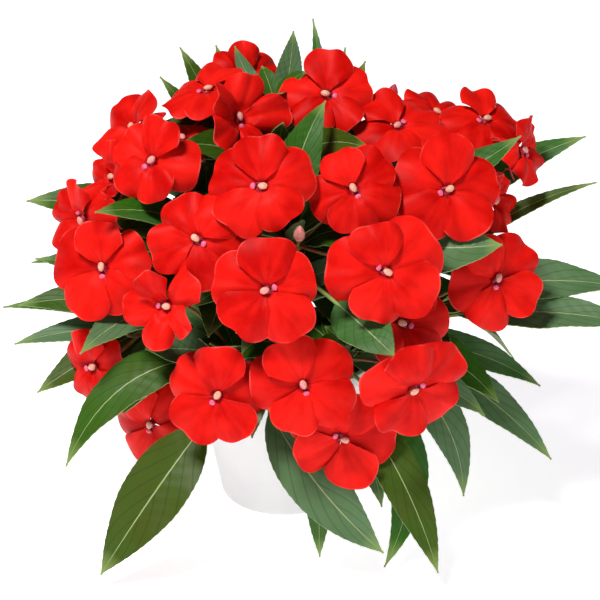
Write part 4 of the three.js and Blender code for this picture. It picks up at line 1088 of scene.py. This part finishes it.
# %% Pot
POT_SIDES = 128
POT_OUTLINE = [
    (38.2, 0.0), (39.2, 0.3), (39.8, 0.8), (40.2, 1.6), (56.3, 90.5), (56.6, 90.9),
    (59.2, 91.4), (59.5, 92.0), (60.0, 98.8), (59.8, 99.6), (59.2, 100.0), (57.0, 100.0),
    (56.4, 99.7), (56.2, 99.0), (39.4, 4.6), (38.0, 3.2),
]


def turned_piece(name, outline, sides):
    deselect()
    radius, height = outline[0]
    bpy.ops.mesh.primitive_circle_add(vertices=sides, radius=radius * MM, fill_type="NGON")
    piece = bpy.context.object
    piece.name = name
    bpy.ops.object.mode_set(mode="EDIT")
    bpy.ops.mesh.select_all(action="SELECT")
    bpy.ops.transform.translate(value=(0, 0, height * MM))
    for (r0, z0), (r1, z1) in zip(outline, outline[1:]):
        bpy.ops.mesh.extrude_region_move(TRANSFORM_OT_translate={"value": (0, 0, (z1 - z0) * MM)})
        bpy.ops.transform.resize(value=(r1 / r0, r1 / r0, 1), center_override=(0, 0, z1 * MM))
    bpy.ops.mesh.select_all(action="SELECT")
    bpy.ops.mesh.normals_make_consistent(inside=False)
    bpy.ops.object.mode_set(mode="OBJECT")
    return piece


pot = turned_piece("pot_shell", POT_OUTLINE, POT_SIDES)
pot.data.materials.append(pot_plastic)
smooth(pot, 40)
dress(pot, "pot_plastic", "pot")
print("pot faces:", len(pot.data.polygons))

# %% Soil
SOIL_TOP = 88
SOIL_RADIUS = 53.6
CRUMB_MM = 3.2
CRUMB_HEIGHT = 2.2
CRUMBS_ABOVE = 80
CRUMBS_WITHIN = 53
soil_rings = np.linspace(SOIL_RADIUS, 0.5, 40)
SOIL_OUTLINE = [(38.2, 3.4)] + [(float(r), SOIL_TOP) for r in soil_rings]
soil = turned_piece("soil_fill", SOIL_OUTLINE, POT_SIDES)
soil.data.materials.append(peat)
crumb_noise = bpy.data.textures.new("crumbs", "CLOUDS")
crumb_noise.noise_scale = CRUMB_MM * MM
top_group = soil.vertex_groups.new(name="top")
on_top = [v.index for v in soil.data.vertices
          if v.co.z > CRUMBS_ABOVE * MM and hypot(v.co.x, v.co.y) < CRUMBS_WITHIN * MM]
top_group.add(on_top, 1.0, "REPLACE")
crumbs = soil.modifiers.new("crumbs", "DISPLACE")
crumbs.texture = crumb_noise
crumbs.vertex_group = "top"
crumbs.direction = "Z"
crumbs.strength = CRUMB_HEIGHT * MM
apply_modifier(soil, crumbs)
smooth(soil, 60)
dress(soil, "soil", "potting_soil")
print("soil faces:", len(soil.data.polygons))

# %% [markdown]
# ## The floor and the light
# The plant stands on a plain white sweep under soft studio light: a broad light overhead and a
# little in front, two weaker ones at the right and low in front, and a faint bright surround.

# %% Floor
FLOOR_GLOW = 0.8
FLOOR_SIZE = 40
deselect()
bpy.ops.mesh.primitive_plane_add(size=FLOOR_SIZE)
floor = bpy.context.object
floor.name = "floor"
floor_paper = mottled("floor_white_paper", "#fbfafb", "#f8f7f9", 300, 0.9, 0.0, subsurface=0)
connect(floor_paper.node_tree.nodes["Principled BSDF"],
        {"Emission Color": colour("#fdfaff"), "Emission Strength": FLOOR_GLOW})
floor.data.materials.append(floor_paper)
print("floor:", tuple(floor.dimensions))

# %% Lights
WORLD_STRENGTH = 0.06
LIGHTS = [
    ("overhead", (-0.55, -0.65, 1.75), 0.4, 32),
    ("right_front", (1.5, -1.4, 0.9), 1.0, 5),
    ("low_front", (0.3, -1.8, 0.2), 0.8, 3),
]

for name, place, size, power in LIGHTS:
    data = bpy.data.lights.new(name, "AREA")
    data.size = size
    data.energy = power
    light = new_object(name, data)
    light.location = place
    light.rotation_euler = (CAMERA_TARGET - Vector(place)).to_track_quat("-Z", "Y").to_euler()
world = bpy.data.worlds.new("studio")
bpy.context.scene.world = world
world.use_nodes = True
connect(world.node_tree.nodes["Background"], {"Color": (1, 1, 1, 1), "Strength": WORLD_STRENGTH})
bpy.context.scene.view_settings.view_transform = "Standard"
print("lights:", [row[0] for row in LIGHTS])
